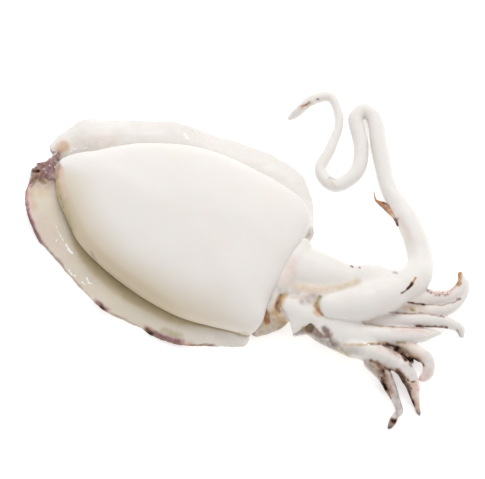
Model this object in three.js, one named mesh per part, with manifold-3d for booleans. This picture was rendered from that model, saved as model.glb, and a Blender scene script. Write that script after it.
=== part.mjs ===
// A whole raw cuttlefish, cleaned and skinned, lying flat: a domed mantle with a fin along
// each side, the soft head, the arms, and one long feeding tentacle laid in a double bend.
//
// Millimetres, +Z up. The animal lies on z = 0 with its tail towards -X and its arms towards
// +X, and the origin is under the middle of the box that holds it.

import * as THREE from 'three';
import { mergeVertices } from 'three/addons/utils/BufferGeometryUtils.js';
import Module from 'manifold-3d';

const wasm = await Module();
wasm.setup();

// ---- The mantle's driving dimensions ----------------------------------------------------

const TAIL_TIP = new THREE.Vector2(-138, 64.5);
const MANTLE_TURN = THREE.MathUtils.degToRad(-30);
const CROWN = { along: 102, across: 8, height: 38 };
const CROWN_SPAN = { along: 100, across: 58 };
const DOME_FULLNESS = 0.85;
const OVAL_HOLD = 3;

const RIM_HEIGHT = { side: 12, front: 19 };
const CREASE_DEPTH = { side: 3, front: 9 };
const CREASE_HEIGHT = { side: 6.5, front: 9 };

const FIN_ARCH = 1.8;
const FIN_EDGE_HEIGHT = 3.2;
const FIN_EDGE_THICKNESS = 1.4;
const FIN_UNDERSIDE = 0.5;
const SEAT_SHARE = 0.84;

// The fins' edges ruffle in two sets of waves round the outline.
const FIN_RUFFLES = [
  { height: 1.3, waves: 9, phase: 1 },
  { height: 0.8, waves: 17, phase: 0.4 },
];

// The far fin is rolled up into a soft tube at its tail end.
const FIN_ROLL = { height: 5, station: 4, spread: 2.6 };

// The mantle's rim and the fin's edge beside it, as [along, across] from the tail tip down
// the mantle's axis: up the far side, across the open front, and back down the near side.
const OUTLINE = [
  { rim: [-1, 1.5], edge: [-4, 2] },
  { rim: [0.5, 6.5], edge: [-7, 9] },
  { rim: [4.5, 12], edge: [-14.5, 13] },
  { rim: [10, 17], edge: [-12, 28] },
  { rim: [18, 23], edge: [-2.5, 42.5] },
  { rim: [28, 32], edge: [11, 52] },
  { rim: [43, 44], edge: [30, 62.5] },
  { rim: [60, 54], edge: [52, 74.5] },
  { rim: [80, 62.5], edge: [76, 80] },
  { rim: [103, 67.5], edge: [103, 86] },
  { rim: [130, 69], edge: [133, 89] },
  { rim: [152, 68.5], edge: [155, 84] },
  { rim: [169, 65], edge: [172, 69.5] },
  { rim: [179, 56], edge: [182, 58] },
  { rim: [182.5, 42], edge: [184, 46] },
  { rim: [182.5, 25], edge: [175, 25], front: 1 },
  { rim: [183.5, 5], edge: [176, 5], front: 1 },
  { rim: [184.5, -14], edge: [177, -14], front: 1 },
  { rim: [188, -30], edge: [180, -27], front: 1 },
  { rim: [184, -40.5], edge: [184, -45] },
  { rim: [172, -44], edge: [174, -53] },
  { rim: [155, -49], edge: [158, -62.5] },
  { rim: [136, -53.5], edge: [138, -70.5] },
  { rim: [112, -54.5], edge: [112, -72] },
  { rim: [88, -52.5], edge: [85, -74] },
  { rim: [66, -48.5], edge: [60, -68] },
  { rim: [44, -41.5], edge: [36, -59] },
  { rim: [26, -29.5], edge: [14, -50.5] },
  { rim: [12, -18.5], edge: [-2, -38] },
  { rim: [4, -8], edge: [-12, -23] },
  { rim: [0, -2], edge: [-15, -8] },
];

// ---- The soft lobes and limbs -----------------------------------------------------------

// Each has a route of [x, y, z, radius] from root to tip, and `high` flattens its section.
const LIMBS = [
  { name: 'neck', sides: 14, steps: 9, route: [
    [21.5, -8.5, 12, 11], [39.5, -11, 15, 15], [58.5, -18, 16, 12], [75.5, -21, 14, 6.5]] },
  { name: 'neck fold', sides: 12, steps: 6, route: [
    [35.5, -30.5, 13, 9], [54.5, -32.5, 15, 9], [72.5, -29.5, 15, 9], [88, -25.5, 14, 9]] },
  { name: 'crown of the arms', sides: 12, steps: 6, route: [
    [79.5, -24.5, 13, 10], [94, -23, 13, 11], [106, -27, 13, 10], [113.5, -32, 13, 8]] },
  { name: 'head', sides: 14, steps: 9, route: [
    [30, -37.5, 14, 12], [44, -47, 14, 13], [59.5, -57.5, 13, 13], [72, -67.5, 12, 11]] },
  { name: 'collar', sides: 12, steps: 6, route: [
    [20, -28, 9, 9], [13, -40, 9, 9], [11.5, -54, 8.5, 8.5], [23, -50, 9, 9]] },
  { name: 'funnel', sides: 10, steps: 7, high: 0.55, route: [
    [29, -43, 22, 6], [36.5, -48.5, 24, 8.5], [36.5, -55, 21, 7], [34, -60.5, 17, 3]] },
  { name: 'tentacle', sides: 12, steps: 76, route: [
    [58.5, -45.5, 18, 9], [72, -45, 18, 11.5], [90, -39.5, 17, 12], [107.5, -33, 16, 12],
    [120, -22, 14, 11], [123, -8, 11, 9.4], [116.5, 23.5, 8.5, 8.3], [103.5, 49.5, 6.5, 6],
    [97, 81.5, 6, 5.9], [92.5, 105.5, 5.5, 5.3], [85.5, 111.5, 5.3, 5], [79.5, 106, 5, 5],
    [83, 83.5, 5, 4.9], [79.5, 64, 5, 5], [63.5, 53, 5, 4.8], [53, 64.5, 4.4, 4.1],
    [61, 83.5, 3.6, 3.3], [67.5, 105, 3.2, 2.8], [61, 123, 3.2, 3], [46, 120, 3.4, 3.4],
    [30.5, 107.5, 1.6, 1]] },
  { name: 'upper curled arm', sides: 10, steps: 13, route: [
    [108, -37, 12, 6], [131, -33.5, 9, 5.6], [141.5, -33, 9, 5], [148.5, -29, 10, 4],
    [152, -22.5, 12, 3], [151, -18, 13, 2]] },
  { name: 'lower curled arm', sides: 10, steps: 13, route: [
    [104.5, -42, 7, 5], [133, -42.5, 5.5, 4.5], [143.5, -40, 5.5, 4.5], [151, -34, 6, 4],
    [155, -27, 7, 3], [155.5, -21.5, 8, 2]] },
  { name: 'hooked arm', sides: 10, steps: 13, route: [
    [81, -52.5, 9, 5], [108, -50.5, 7, 4.9], [135, -50.5, 5, 4.3], [144.5, -52.5, 4.5, 3.5],
    [150.5, -56, 4, 2.8], [151.5, -60.5, 3, 1.6]] },
  { name: 'straight arm', sides: 12, steps: 10, route: [
    [68.5, -61.5, 13, 9], [82.5, -62, 11, 7.4], [111, -62, 9, 6.4], [122.5, -61.5, 8, 5.2],
    [130, -60.5, 7, 3.2], [136, -59.5, 6, 1.2]] },
  { name: 'curled near arm', sides: 10, steps: 10, route: [
    [99, -66, 8, 5], [112, -70.5, 7.5, 5.6], [121.5, -75.5, 7, 6], [126.5, -82.5, 6.5, 5.2],
    [126, -89, 6, 4.4], [122.5, -93.5, 5, 2.6]] },
  { name: 'long near arm', sides: 12, steps: 14, route: [
    [73.5, -71, 12, 9], [86, -75, 11, 7], [104, -82.5, 9.5, 6.4], [110, -88.5, 9, 6.1],
    [114.5, -95.5, 8, 5.8], [117.5, -108, 5, 3.4], [120, -119, 2.5, 1]] },
  { name: 'twisted near arm', sides: 12, steps: 15, route: [
    [84, -78, 8, 5.5], [99, -95, 6, 5], [102, -102.5, 6, 4.6], [103.5, -109, 5, 3.5],
    [105.5, -115.5, 4.5, 2.9], [102.5, -121.5, 4, 2.1], [98.5, -128, 2.5, 1]] },
  { name: 'torn shred', sides: 8, steps: 6, route: [
    [107.5, 27, 5, 1.8], [103.5, 34.5, 5, 2], [99, 40, 5, 1.8], [94.5, 43.5, 4.5, 1.2],
    [92.5, 47.5, 4, 0.6]] },
  { name: 'tail tissue', sides: 12, steps: 6, route: [
    [-138.5, 63.5, 8, 7], [-145, 62.5, 8, 6.5], [-151, 64.5, 7, 4.5], [-155, 62, 5, 2.5]] },
  { name: 'tail bridge', sides: 8, steps: 3, route: [
    [-135.5, 68.5, 10, 4], [-140, 71.5, 10, 3]] },
];

const SKIN = { color: 0xece6df, roughness: 0.3, metalness: 0 };
const TABLE_CUT = { width: 500, depth: 60 };

// ---- Shells made from spheres -----------------------------------------------------------

const WELD_DISTANCE = 0.001;

/** One closed body: the geometry's shared vertices welded, its other attributes dropped. */
function weld(geometry) {
  geometry.deleteAttribute('normal');
  geometry.deleteAttribute('uv');
  return mergeVertices(geometry, WELD_DISTANCE);
}

/** A sphere whose vertices are moved by `place(turn, row)`, from its first pole to its last. */
function shellFromSphere(columns, rows, place) {
  const geometry = new THREE.SphereGeometry(1, columns, rows);
  const position = geometry.getAttribute('position');
  for (let index = 0; index < position.count; index += 1) {
    const column = index % (columns + 1);
    const row = Math.floor(index / (columns + 1));
    const point = place((column % columns) / columns, row);
    position.setXYZ(index, point.x, point.y, point.z);
  }
  return weld(geometry);
}

/** The manifold solid of a closed geometry. */
function solidOf(geometry) {
  const mesh = new wasm.Mesh({
    numProp: 3,
    vertProperties: new Float32Array(geometry.getAttribute('position').array),
    triVerts: new Uint32Array(geometry.getIndex().array),
  });
  return new wasm.Manifold(mesh);
}

/** The geometry of a manifold solid. */
function geometryOf(solid) {
  const mesh = solid.getMesh();
  const geometry = new THREE.BufferGeometry();
  geometry.setAttribute('position', new THREE.BufferAttribute(mesh.vertProperties, 3));
  geometry.setIndex(new THREE.BufferAttribute(mesh.triVerts, 1));
  geometry.computeVertexNormals();
  return geometry;
}

/** A smooth curve through the given points, which keeps clear of loops at close points. */
function smoothCurve(points, closed) {
  const vectors = points.map(([x, y, z]) => new THREE.Vector3(x, y, z));
  return new THREE.CatmullRomCurve3(vectors, closed, 'centripetal');
}

// ---- The mantle and its fins ------------------------------------------------------------

const MANTLE_COLUMNS = 92;
const DOME_ROWS = 9;
const TUCK_ROWS = 2;
const FIN_ROWS = 4;
const UNDER_ROWS = 3;
const RIM_ROW = DOME_ROWS;
const CREASE_ROW = RIM_ROW + TUCK_ROWS;
const EDGE_ROW = CREASE_ROW + FIN_ROWS;
const SEAT_ROW = EDGE_ROW + UNDER_ROWS;
const MANTLE_ROWS = SEAT_ROW + 1;

const rimCurve = smoothCurve(OUTLINE.map(({ rim }) => [...rim, 0]), true);
const edgeCurve = smoothCurve(OUTLINE.map(({ edge }) => [...edge, 0]), true);
const frontCurve = smoothCurve(OUTLINE.map(({ front = 0 }, station) => [front, station, 0]), true);
const crownPoint = new THREE.Vector3(CROWN.along, CROWN.across, 0);

/** What lifts the fin's edge: its ruffle, and the roll at the far side's tail end. */
function finLift(turn) {
  const angle = turn * Math.PI * 2;
  const ruffle = FIN_RUFFLES.reduce(
    (lift, { height, waves, phase }) => lift + height * Math.sin(waves * angle + phase), 0);
  const fromRoll = (turn * OUTLINE.length - FIN_ROLL.station) / FIN_ROLL.spread;
  const roll = FIN_ROLL.height * Math.exp(-fromRoll * fromRoll);
  return { ruffle, roll };
}

/** A point of the dome, `lean` quarter turns down from its crown to its rim. */
function domePoint(rim, rimHeight, lean) {
  const spoke = rim.clone().sub(crownPoint);
  const reach = spoke.length();
  spoke.normalize();
  const oval = 1 / Math.hypot(spoke.x / CROWN_SPAN.along, spoke.y / CROWN_SPAN.across);
  const share = Math.sin(lean * Math.PI / 2);
  const length = share * THREE.MathUtils.lerp(oval, reach, share ** OVAL_HOLD);
  const rise = Math.cos(lean * Math.PI / 2) ** DOME_FULLNESS;
  const point = crownPoint.clone().addScaledVector(spoke, length);
  point.z = THREE.MathUtils.lerp(rimHeight, CROWN.height, rise);
  return point;
}

/** A point of the mantle and fins in the mantle's own frame, from the crown to the seat. */
function mantlePoint(turn, row) {
  const front = THREE.MathUtils.clamp(frontCurve.getPoint(turn).x, 0, 1);
  const atFront = ({ side, front: frontValue }) => THREE.MathUtils.lerp(side, frontValue, front);
  const rim = rimCurve.getPoint(turn);
  const edge = edgeCurve.getPoint(turn);
  const inward = crownPoint.clone().sub(rim).normalize();
  const crease = rim.clone().addScaledVector(inward, atFront(CREASE_DEPTH));
  const seat = new THREE.Vector3().lerpVectors(crownPoint, rim, SEAT_SHARE);
  const { ruffle, roll } = finLift(turn);
  const edgeTop = Math.max(
    FIN_EDGE_HEIGHT + (1 - front) * (ruffle + roll), FIN_EDGE_THICKNESS + FIN_UNDERSIDE);
  const point = new THREE.Vector3();

  if (row <= RIM_ROW) {
    return domePoint(rim, atFront(RIM_HEIGHT), row / DOME_ROWS);
  }
  if (row <= CREASE_ROW) {
    const tuck = ((row - RIM_ROW) / TUCK_ROWS) * Math.PI / 2;
    point.lerpVectors(rim, crease, 1 - Math.cos(tuck));
    point.z = THREE.MathUtils.lerp(atFront(RIM_HEIGHT), atFront(CREASE_HEIGHT), Math.sin(tuck));
    return point;
  }
  if (row <= EDGE_ROW) {
    const out = (row - CREASE_ROW) / FIN_ROWS;
    const arch = Math.sin(out * Math.PI) * (FIN_ARCH + (1 - front) * roll);
    point.lerpVectors(crease, edge, out);
    point.z = THREE.MathUtils.lerp(atFront(CREASE_HEIGHT), edgeTop, out) + arch;
    return point;
  }
  if (row <= SEAT_ROW) {
    const back = (row - EDGE_ROW - 1) / (UNDER_ROWS - 1);
    const underEdge = edgeTop - FIN_EDGE_THICKNESS;
    point.lerpVectors(edge, seat, back);
    point.z = underEdge * (1 - back) ** 2;
    return point;
  }
  return crownPoint;
}

/** The mantle's point turned and set in the animal's frame. */
function placedMantlePoint(turn, row) {
  const point = mantlePoint(1 - turn, row);
  const plan = new THREE.Vector2(point.x, point.y);
  plan.rotateAround(new THREE.Vector2(), MANTLE_TURN).add(TAIL_TIP);
  return new THREE.Vector3(plan.x, plan.y, point.z);
}

// ---- The limbs --------------------------------------------------------------------------

const CAP_ROWS = 2;
const UP = new THREE.Vector3(0, 0, 1);

/** A tapering limb with rounded ends along its route. */
function limb({ sides, steps, high = 1, route }) {
  const path = smoothCurve(route, false);
  const girth = smoothCurve(route.map(([, , , radius], point) => [radius, point, 0]), false);

  return shellFromSphere(sides, steps + 2 * CAP_ROWS, (turn, row) => {
    const along = THREE.MathUtils.clamp((row - CAP_ROWS) / steps, 0, 1);
    const forward = path.getTangent(along);
    const across = new THREE.Vector3().crossVectors(UP, forward).normalize();
    const rise = new THREE.Vector3().crossVectors(forward, across);
    const radius = girth.getPoint(along).x;
    const rowsPastEnd = Math.max(CAP_ROWS - row, row - CAP_ROWS - steps, 0);
    const capTurn = (rowsPastEnd / CAP_ROWS) * Math.PI / 2;
    const width = radius * Math.cos(capTurn);
    const reach = radius * Math.sin(capTurn) * (row < CAP_ROWS ? -1 : 1);
    const angle = turn * Math.PI * 2;
    return path.getPoint(along)
      .addScaledVector(across, -Math.cos(angle) * width)
      .addScaledVector(rise, Math.sin(angle) * width * high)
      .addScaledVector(forward, reach);
  });
}

// ---- One solid, flat where it lies ------------------------------------------------------

const mantle = solidOf(shellFromSphere(MANTLE_COLUMNS, MANTLE_ROWS, placedMantlePoint));
const joined = LIMBS.reduce((whole, shape) => whole.add(solidOf(limb(shape))), mantle);

const tableBox = new THREE.BoxGeometry(TABLE_CUT.width, TABLE_CUT.width, TABLE_CUT.depth);
tableBox.translate(0, 0, -TABLE_CUT.depth / 2);
const animal = joined.subtract(solidOf(weld(tableBox)));
const { min, max } = animal.boundingBox();

const cuttlefish = new THREE.Mesh(geometryOf(animal), new THREE.MeshStandardMaterial(SKIN));
cuttlefish.name = 'cuttlefish';
cuttlefish.position.set(-(min[0] + max[0]) / 2, -(min[1] + max[1]) / 2, -min[2]);

const part = new THREE.Group();
part.add(cuttlefish);

export default part;
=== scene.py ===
"""A whole raw cuttlefish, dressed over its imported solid.

The animal lies flat: a domed mantle edged by two fins, the soft head with its funnel, the short
arms and one long feeding tentacle laid in a double bend. Shapes are worked out in millimetres on
the routes' own zero, and each mesh is then moved to the frame and written in metres.
"""

import logging
import math
from dataclasses import dataclass, field
from enum import Enum
from typing import Any, Iterable, Iterator, Protocol, Sequence

import bpy
import numpy as np
from bpy.types import ID, Material, Node, NodeSocket, NodeTree, Object
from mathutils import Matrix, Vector
from mathutils.bvhtree import BVHTree


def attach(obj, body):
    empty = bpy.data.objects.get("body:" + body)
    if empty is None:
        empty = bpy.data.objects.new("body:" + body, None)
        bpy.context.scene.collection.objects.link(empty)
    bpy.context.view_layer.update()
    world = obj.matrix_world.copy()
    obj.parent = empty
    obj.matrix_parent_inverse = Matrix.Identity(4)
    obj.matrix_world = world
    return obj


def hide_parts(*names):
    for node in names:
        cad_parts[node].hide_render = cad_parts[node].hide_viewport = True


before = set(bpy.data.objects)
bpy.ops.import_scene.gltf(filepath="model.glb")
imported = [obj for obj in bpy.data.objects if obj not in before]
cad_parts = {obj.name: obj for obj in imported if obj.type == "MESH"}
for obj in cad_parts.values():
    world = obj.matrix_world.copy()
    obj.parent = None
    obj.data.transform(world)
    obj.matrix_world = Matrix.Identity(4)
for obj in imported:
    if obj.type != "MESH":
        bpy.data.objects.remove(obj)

LOG = logging.getLogger("cuttlefish")
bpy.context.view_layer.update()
CAD_NODE = "cuttlefish"
BODY = "root"
METRES_PER_MM = 0.001

# What brings the middle of the animal's box over the frame's origin, in millimetres.
ROUTES_TO_FRAME_MM = np.array([1.09, 1.16, 0.0])

Array = np.ndarray
Point = tuple[float, ...]
Faces = Sequence[Sequence[int]]

# A length or a square of one, in millimetres, that is small enough to count as none.
TINY = 1e-9

# The vertex attribute that says how wet the surface is, from 0 to 1.
WET = "wet"


class Tint(Enum):
    """The colours that the flesh takes in places, as real stains and as painted shade. Each is a vertex
    attribute of that name.
    """

    TAN = "tint_tan"
    OLIVE = "tint_olive"
    ROSE = "tint_rose"
    SLATE = "tint_slate"
    PLUM = "tint_plum"
    UMBER = "tint_umber"
    RUST = "tint_rust"
    # Painted shade: the warm tan that darkens the mantle's near flank, the near fin and the creases.
    PAINTED_SHADE = "tint_painted_shade"


# ---- Curves, relief, stains and painted shade ---------------------------------------------


def spline(points: Array, at: Array, closed: bool = False, measured: int = 3) -> Array:
    """Points of a centripetal Catmull-Rom curve.

    Args:
        points: the control points, one row each.
        at: places along the curve, from 0 at the first point to 1 at the last.
        closed: whether the curve runs back from the last point to the first.
        measured: how many leading columns measure the gap between two points.

    Returns:
        One row for each place, with the columns of the control points.
    """
    count = len(points)
    spans = count if closed else count - 1
    place = np.clip(at, 0.0, 1.0) * spans
    index = np.minimum(place.astype(int), spans - 1)
    share = (place - index)[:, None]
    if closed:
        knots = [points[(index + step) % count] for step in (-1, 0, 1, 2)]
    else:
        ends = np.vstack([2 * points[0] - points[1], points, 2 * points[-1] - points[-2]])
        knots = [ends[index + step] for step in range(4)]
    gaps = []
    for near, far in zip(knots, knots[1:]):
        length = np.linalg.norm((far - near)[:, :measured], axis=1)[:, None]
        gaps.append(np.sqrt(np.maximum(length, TINY)))
    before, first, second, after = knots
    gap0, gap1, gap2 = gaps
    leave = (first - before) / gap0 - (second - before) / (gap0 + gap1) + (second - first) / gap1
    reach = (second - first) / gap1 - (after - first) / (gap1 + gap2) + (after - second) / gap2
    leave, reach = leave * gap1, reach * gap1
    square = -3 * first + 3 * second - 2 * leave - reach
    cube = 2 * first - 2 * second + leave + reach
    return first + share * (leave + share * (square + share * cube))


def smooth(share: Array | float) -> Array | float:
    """A share from 0 to 1 with both ends eased."""
    clipped = np.clip(share, 0.0, 1.0)
    return clipped * clipped * (3.0 - 2.0 * clipped)


def mix(start: Any, end: Any, share: Any) -> Any:
    """The value at a share of the way from start to end."""
    return start + (end - start) * share


def steps(count: int) -> Array:
    """Even shares of a run, from one step in up to its end at 1."""
    return np.arange(1, count + 1) / count


def unit(ways: Array) -> Array:
    """Ways brought to one unit long, along the last axis."""
    return ways / np.maximum(np.linalg.norm(ways, axis=-1, keepdims=True), TINY)


def corner_weights(share: Array) -> Iterator[tuple[tuple[int, ...], Array]]:
    """Every corner of a cell, with its weight at some shares of the way across the cell."""
    for corner in np.ndindex(2, 2, 2):
        yield corner, np.prod(np.where(corner, share, 1.0 - share), axis=1)


@dataclass(frozen=True)
class Band:
    """A run of values that is eased in over its rise from the start, and out over its fall."""

    start: float
    rise: float
    end: float | Array
    fall: float | Array

    def opening(self, value: Array) -> Array:
        """How far the run has opened at a value, from 0 to 1."""
        return smooth((value - self.start) / self.rise)

    def closing(self, value: Array) -> Array:
        """How much of the run is left before it closes, from 0 to 1."""
        return smooth((self.end - value) / self.fall)

    def share(self, value: Array) -> Array:
        """How far inside the run a value lies, from 0 to 1."""
        return self.opening(value) * self.closing(value)

    def widened(self, late: Array, slow: Array) -> "Band":
        """The same run with a later end and a slower fall."""
        return Band(self.start, self.rise, self.end + late, self.fall + slow)


@dataclass(frozen=True)
class Relief:
    """Smooth random relief over space, the same on every run.

    bump is the size of one bump, and height is how far it stands out.
    """

    seed: int
    bump: float
    height: float = 1.0
    cells: int = 32

    def at(self, places: Array) -> Array:
        """The relief at some places.

        Args:
            places: points, one row each.

        Returns:
            Values up to the height on both sides of 0, one for each place.
        """
        lattice = np.random.default_rng(self.seed).uniform(-1.0, 1.0, (self.cells,) * 3)
        scaled = places / self.bump
        base = np.floor(scaled).astype(int)
        total = np.zeros(len(places))
        for corner, weight in corner_weights(smooth(scaled - base)):
            total += weight * lattice[tuple(((base + corner) % self.cells).T)]
        return self.height * total


def summed(reliefs: Iterable[Relief], places: Array) -> Array:
    """Some reliefs laid over each other at some places."""
    return sum(relief.at(places) for relief in reliefs)


# What makes the borders of stains and of painted shade stray, along each axis.
STRAYS = tuple(Relief(seed, 2.6, 0.6) for seed in (81, 82, 83))

# What makes stains and painted shade patchy, and how much of one is missing where it is palest.
PATCHES = Relief(84, 2.0, 1.5)
MOTTLE = 0.24


@dataclass(frozen=True)
class Sight:
    """Where the camera stands, and how places in its picture fall on the flesh.

    Its target lies on the table. Places are pixels across and down in a picture of its size.
    """

    target_mm: tuple[float, float] = (-2.51, 14.16)
    distance_mm: float = 1600.0
    elevation: float = math.radians(70)
    mm_per_pixel: float = 0.72
    picture: tuple[int, int] = (485, 479)
    low_mm: float = 5.0

    @property
    def away(self) -> Array:
        """The way from the target to the camera, one unit long."""
        return np.array([0.0, -math.cos(self.elevation), math.sin(self.elevation)])

    def met(self, flesh: BVHTree, place: Point) -> Array:
        """Where the line of sight through a place in the picture first meets the flesh.

        Args:
            flesh: the flesh, in millimetres on the routes' zero.
            place: the place, as pixels across and down.

        Returns:
            The point, or for a line that misses the flesh, the flesh nearest to it low down.
        """
        target = np.array([*self.target_mm, 0.0]) - ROUTES_TO_FRAME_MM
        eye = target + self.distance_mm * self.away
        across, down = self.mm_per_pixel * (np.array(place) - np.array(self.picture) / 2)
        up = np.array([0.0, math.sin(self.elevation), math.cos(self.elevation)])
        way = target + (across, 0.0, 0.0) - down * up - eye
        hit = flesh.ray_cast(eye, way)[0]
        return np.array(hit or flesh.find_nearest(eye + way * (eye[2] - self.low_mm) / -way[2])[0])


SIGHT = Sight()

# How stains and painted shade soak: distances along the line of sight count for a quarter.
SOAK = np.eye(3) - 0.75 * np.outer(SIGHT.away, SIGHT.away)


@dataclass(frozen=True)
class StainOrShade:
    """A stretch of colour on the flesh, either a real stain or a patch of painted shade: a tint
    that fades with distance from a short path.

    The path's points are places in the camera's picture, or places in space, in millimetres. The
    stain soaks through the flesh more readily than it spreads over it. Its edge is the share of
    the radius, on either side, over which it fades: 1 is soft, and small values are crisp.
    """

    tint: Tint
    strength: float
    radius: float
    path: tuple[Point, ...]
    edge: float = 1.0

    def felt(self, places: Array, flesh: BVHTree) -> Array:
        """How strongly the stain on some flesh shows at some places, from 0 to its strength."""
        nearest = np.full(len(places), np.inf)
        soaked = places @ SOAK
        path = [
            SIGHT.met(flesh, point) if len(point) == 2 else np.array(point, float)
            for point in self.path]
        points = [point @ SOAK for point in path]
        for start, end in zip(points, points[1:] or points):
            along = end - start
            share = np.clip((soaked - start) @ along / max(float(along @ along), TINY), 0.0, 1.0)
            nearest = np.minimum(nearest, np.linalg.norm(soaked - start - share[:, None] * along, axis=1))
        return self.strength * smooth(0.5 + (1.0 - nearest / self.radius) / (2.0 * self.edge))


def stains_and_shade_of(groups: dict[Tint, tuple[tuple[Any, ...], ...]]) -> tuple[StainOrShade, ...]:
    """Stains and painted shade by tint, from the strength, radius and path of each, and its edge where it
    isn't soft.
    """
    return tuple(StainOrShade(tint, *values) for tint, group in groups.items() for values in group)


def stained_and_shaded(places: Array, faces: Faces, stains: Iterable[StainOrShade]) -> dict[Tint, Array]:
    """The strength of every tint at the points of some flesh.

    Args:
        places: the flesh's points in millimetres, one row each.
        faces: the points of each of its faces.
        stains: the stains and the painted shade on it.

    Returns:
        For each tint, one value a point, from 0 to 1.
    """
    flesh = BVHTree.FromPolygons(places.tolist(), faces)
    felt = {tint: np.zeros(len(places)) for tint in Tint}
    strayed = places + np.column_stack([stray.at(places) for stray in STRAYS])
    kept = 1.0 - MOTTLE * smooth(0.5 + PATCHES.at(places))
    for stain in stains:
        strength = np.minimum(stain.felt(strayed, flesh) * kept, 1.0)
        deepen(felt, stain.tint, strength)
    return felt


def deepen(tints: dict[Tint, Array], tint: Tint, felt: Array) -> None:
    """Raise a tint to new strengths where they are greater, from the first point on."""
    first = tints[tint][:felt.size]
    np.maximum(first, felt.reshape(-1), out=first)


# ---- Meshes and nodes ---------------------------------------------------------------------


def to_frame(points: Array) -> list[list[float]]:
    """Points in millimetres on the routes' zero, as metres in the frame."""
    return ((points + ROUTES_TO_FRAME_MM) * METRES_PER_MM).tolist()


def linked(name: str, data: ID) -> Object:
    """A new object with some data, linked to the scene."""
    thing = bpy.data.objects.new(name, data)
    bpy.context.scene.collection.objects.link(thing)
    return thing


def closed_rings(rows: int, columns: int) -> list[tuple[int, ...]]:
    """The faces of a form of rings, closed by a fan at either end.

    Args:
        rows: how many rings there are.
        columns: how many points each ring has.

    Returns:
        The faces. The two points in the middle of the fans come after those of the rings.
    """
    start, end, last = rows * columns, rows * columns + 1, (rows - 1) * columns
    faces: list[tuple[int, ...]] = []
    for column in range(columns):
        after = (column + 1) % columns
        faces.append((start, after, column))
        for upper in range(0, last, columns):
            lower = upper + columns
            faces.append((upper + column, upper + after, lower + after, lower + column))
        faces.append((end, last + column, last + after))
    return faces


def flesh_piece(
    name: str, vertices: Array, faces: Faces, flesh: Material, tints: dict[Tint, Array], wetness: Any
) -> Object:
    """A smooth piece of flesh in the frame, with the values that its material reads.

    Args:
        name: the piece's name.
        vertices: its points, in millimetres on the routes' zero, one row each.
        faces: the points of each face, in order seen from outside.
        flesh: the flesh material.
        tints: how strongly each tint shows at each point.
        wetness: how wet the points are, from 0 to 1, as one value or one for each.

    Returns:
        The new object, linked to the scene.
    """
    mesh = bpy.data.meshes.new(name)
    mesh.from_pydata(to_frame(vertices), [], faces)
    mesh.shade_smooth()
    mesh.materials.append(flesh)
    values = {tint.value: felt for tint, felt in tints.items()}
    values[WET] = np.full(len(vertices), wetness)
    for key, value in values.items():
        attribute = mesh.attributes.new(key, "FLOAT", "POINT")
        attribute.data.foreach_set("value", value.astype(np.float32))
    mesh.update()
    return linked(name, mesh)


def claim(piece: Object, replaces_solid: bool) -> None:
    """Make a piece ride on the animal's body, and say whether it stands for the solid."""
    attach(piece, BODY)
    if replaces_solid:
        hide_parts(CAD_NODE)


def add_node(
    tree: NodeTree,
    kind: str,
    settings: dict[str, Any] | None = None,
    inputs: dict[Any, Any] | None = None,
) -> Node:
    """Add a node with its settings, values and links.

    Args:
        tree: the tree it goes in.
        kind: the node's type name.
        settings: its own properties.
        inputs: by input name or number, a value, or the output that is linked to it.

    Returns:
        The new node.
    """
    node = tree.nodes.new(kind)
    for key, value in (settings or {}).items():
        setattr(node, key, value)
    for key, value in (inputs or {}).items():
        if isinstance(value, NodeSocket):
            tree.links.new(value, node.inputs[key])
        else:
            node.inputs[key].default_value = value
    return node


def linear(hex_colour: str) -> tuple[float, float, float, float]:
    """The linear colour of an sRGB hex value."""
    channels = [int(hex_colour[place:place + 2], 16) / 255.0 for place in (1, 3, 5)]
    red, green, blue = (
        channel / 12.92 if channel <= 0.04045 else ((channel + 0.055) / 1.055) ** 2.4
        for channel in channels
    )
    return red, green, blue, 1.0


def per_metre(pattern_mm: float) -> float:
    """A noise's scale on Object coordinates, from the size of its pattern in millimetres."""
    return 1.0 / (pattern_mm * METRES_PER_MM)


# ---- Finishes -----------------------------------------------------------------------------


class Finish:
    """A finish with a name, which makes a material from the shader that it builds."""

    name: str

    def make(self) -> Material:
        """Build the material."""
        material = bpy.data.materials.new(self.name)
        material.use_nodes = True
        tree = material.node_tree
        tree.nodes.clear()
        add_node(tree, "ShaderNodeOutputMaterial", {}, {"Surface": self.shader(tree).outputs["BSDF"]})
        return material

    def shader(self, tree: NodeTree) -> Node:
        """Build the finish's shader in its material's tree."""
        raise NotImplementedError


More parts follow.
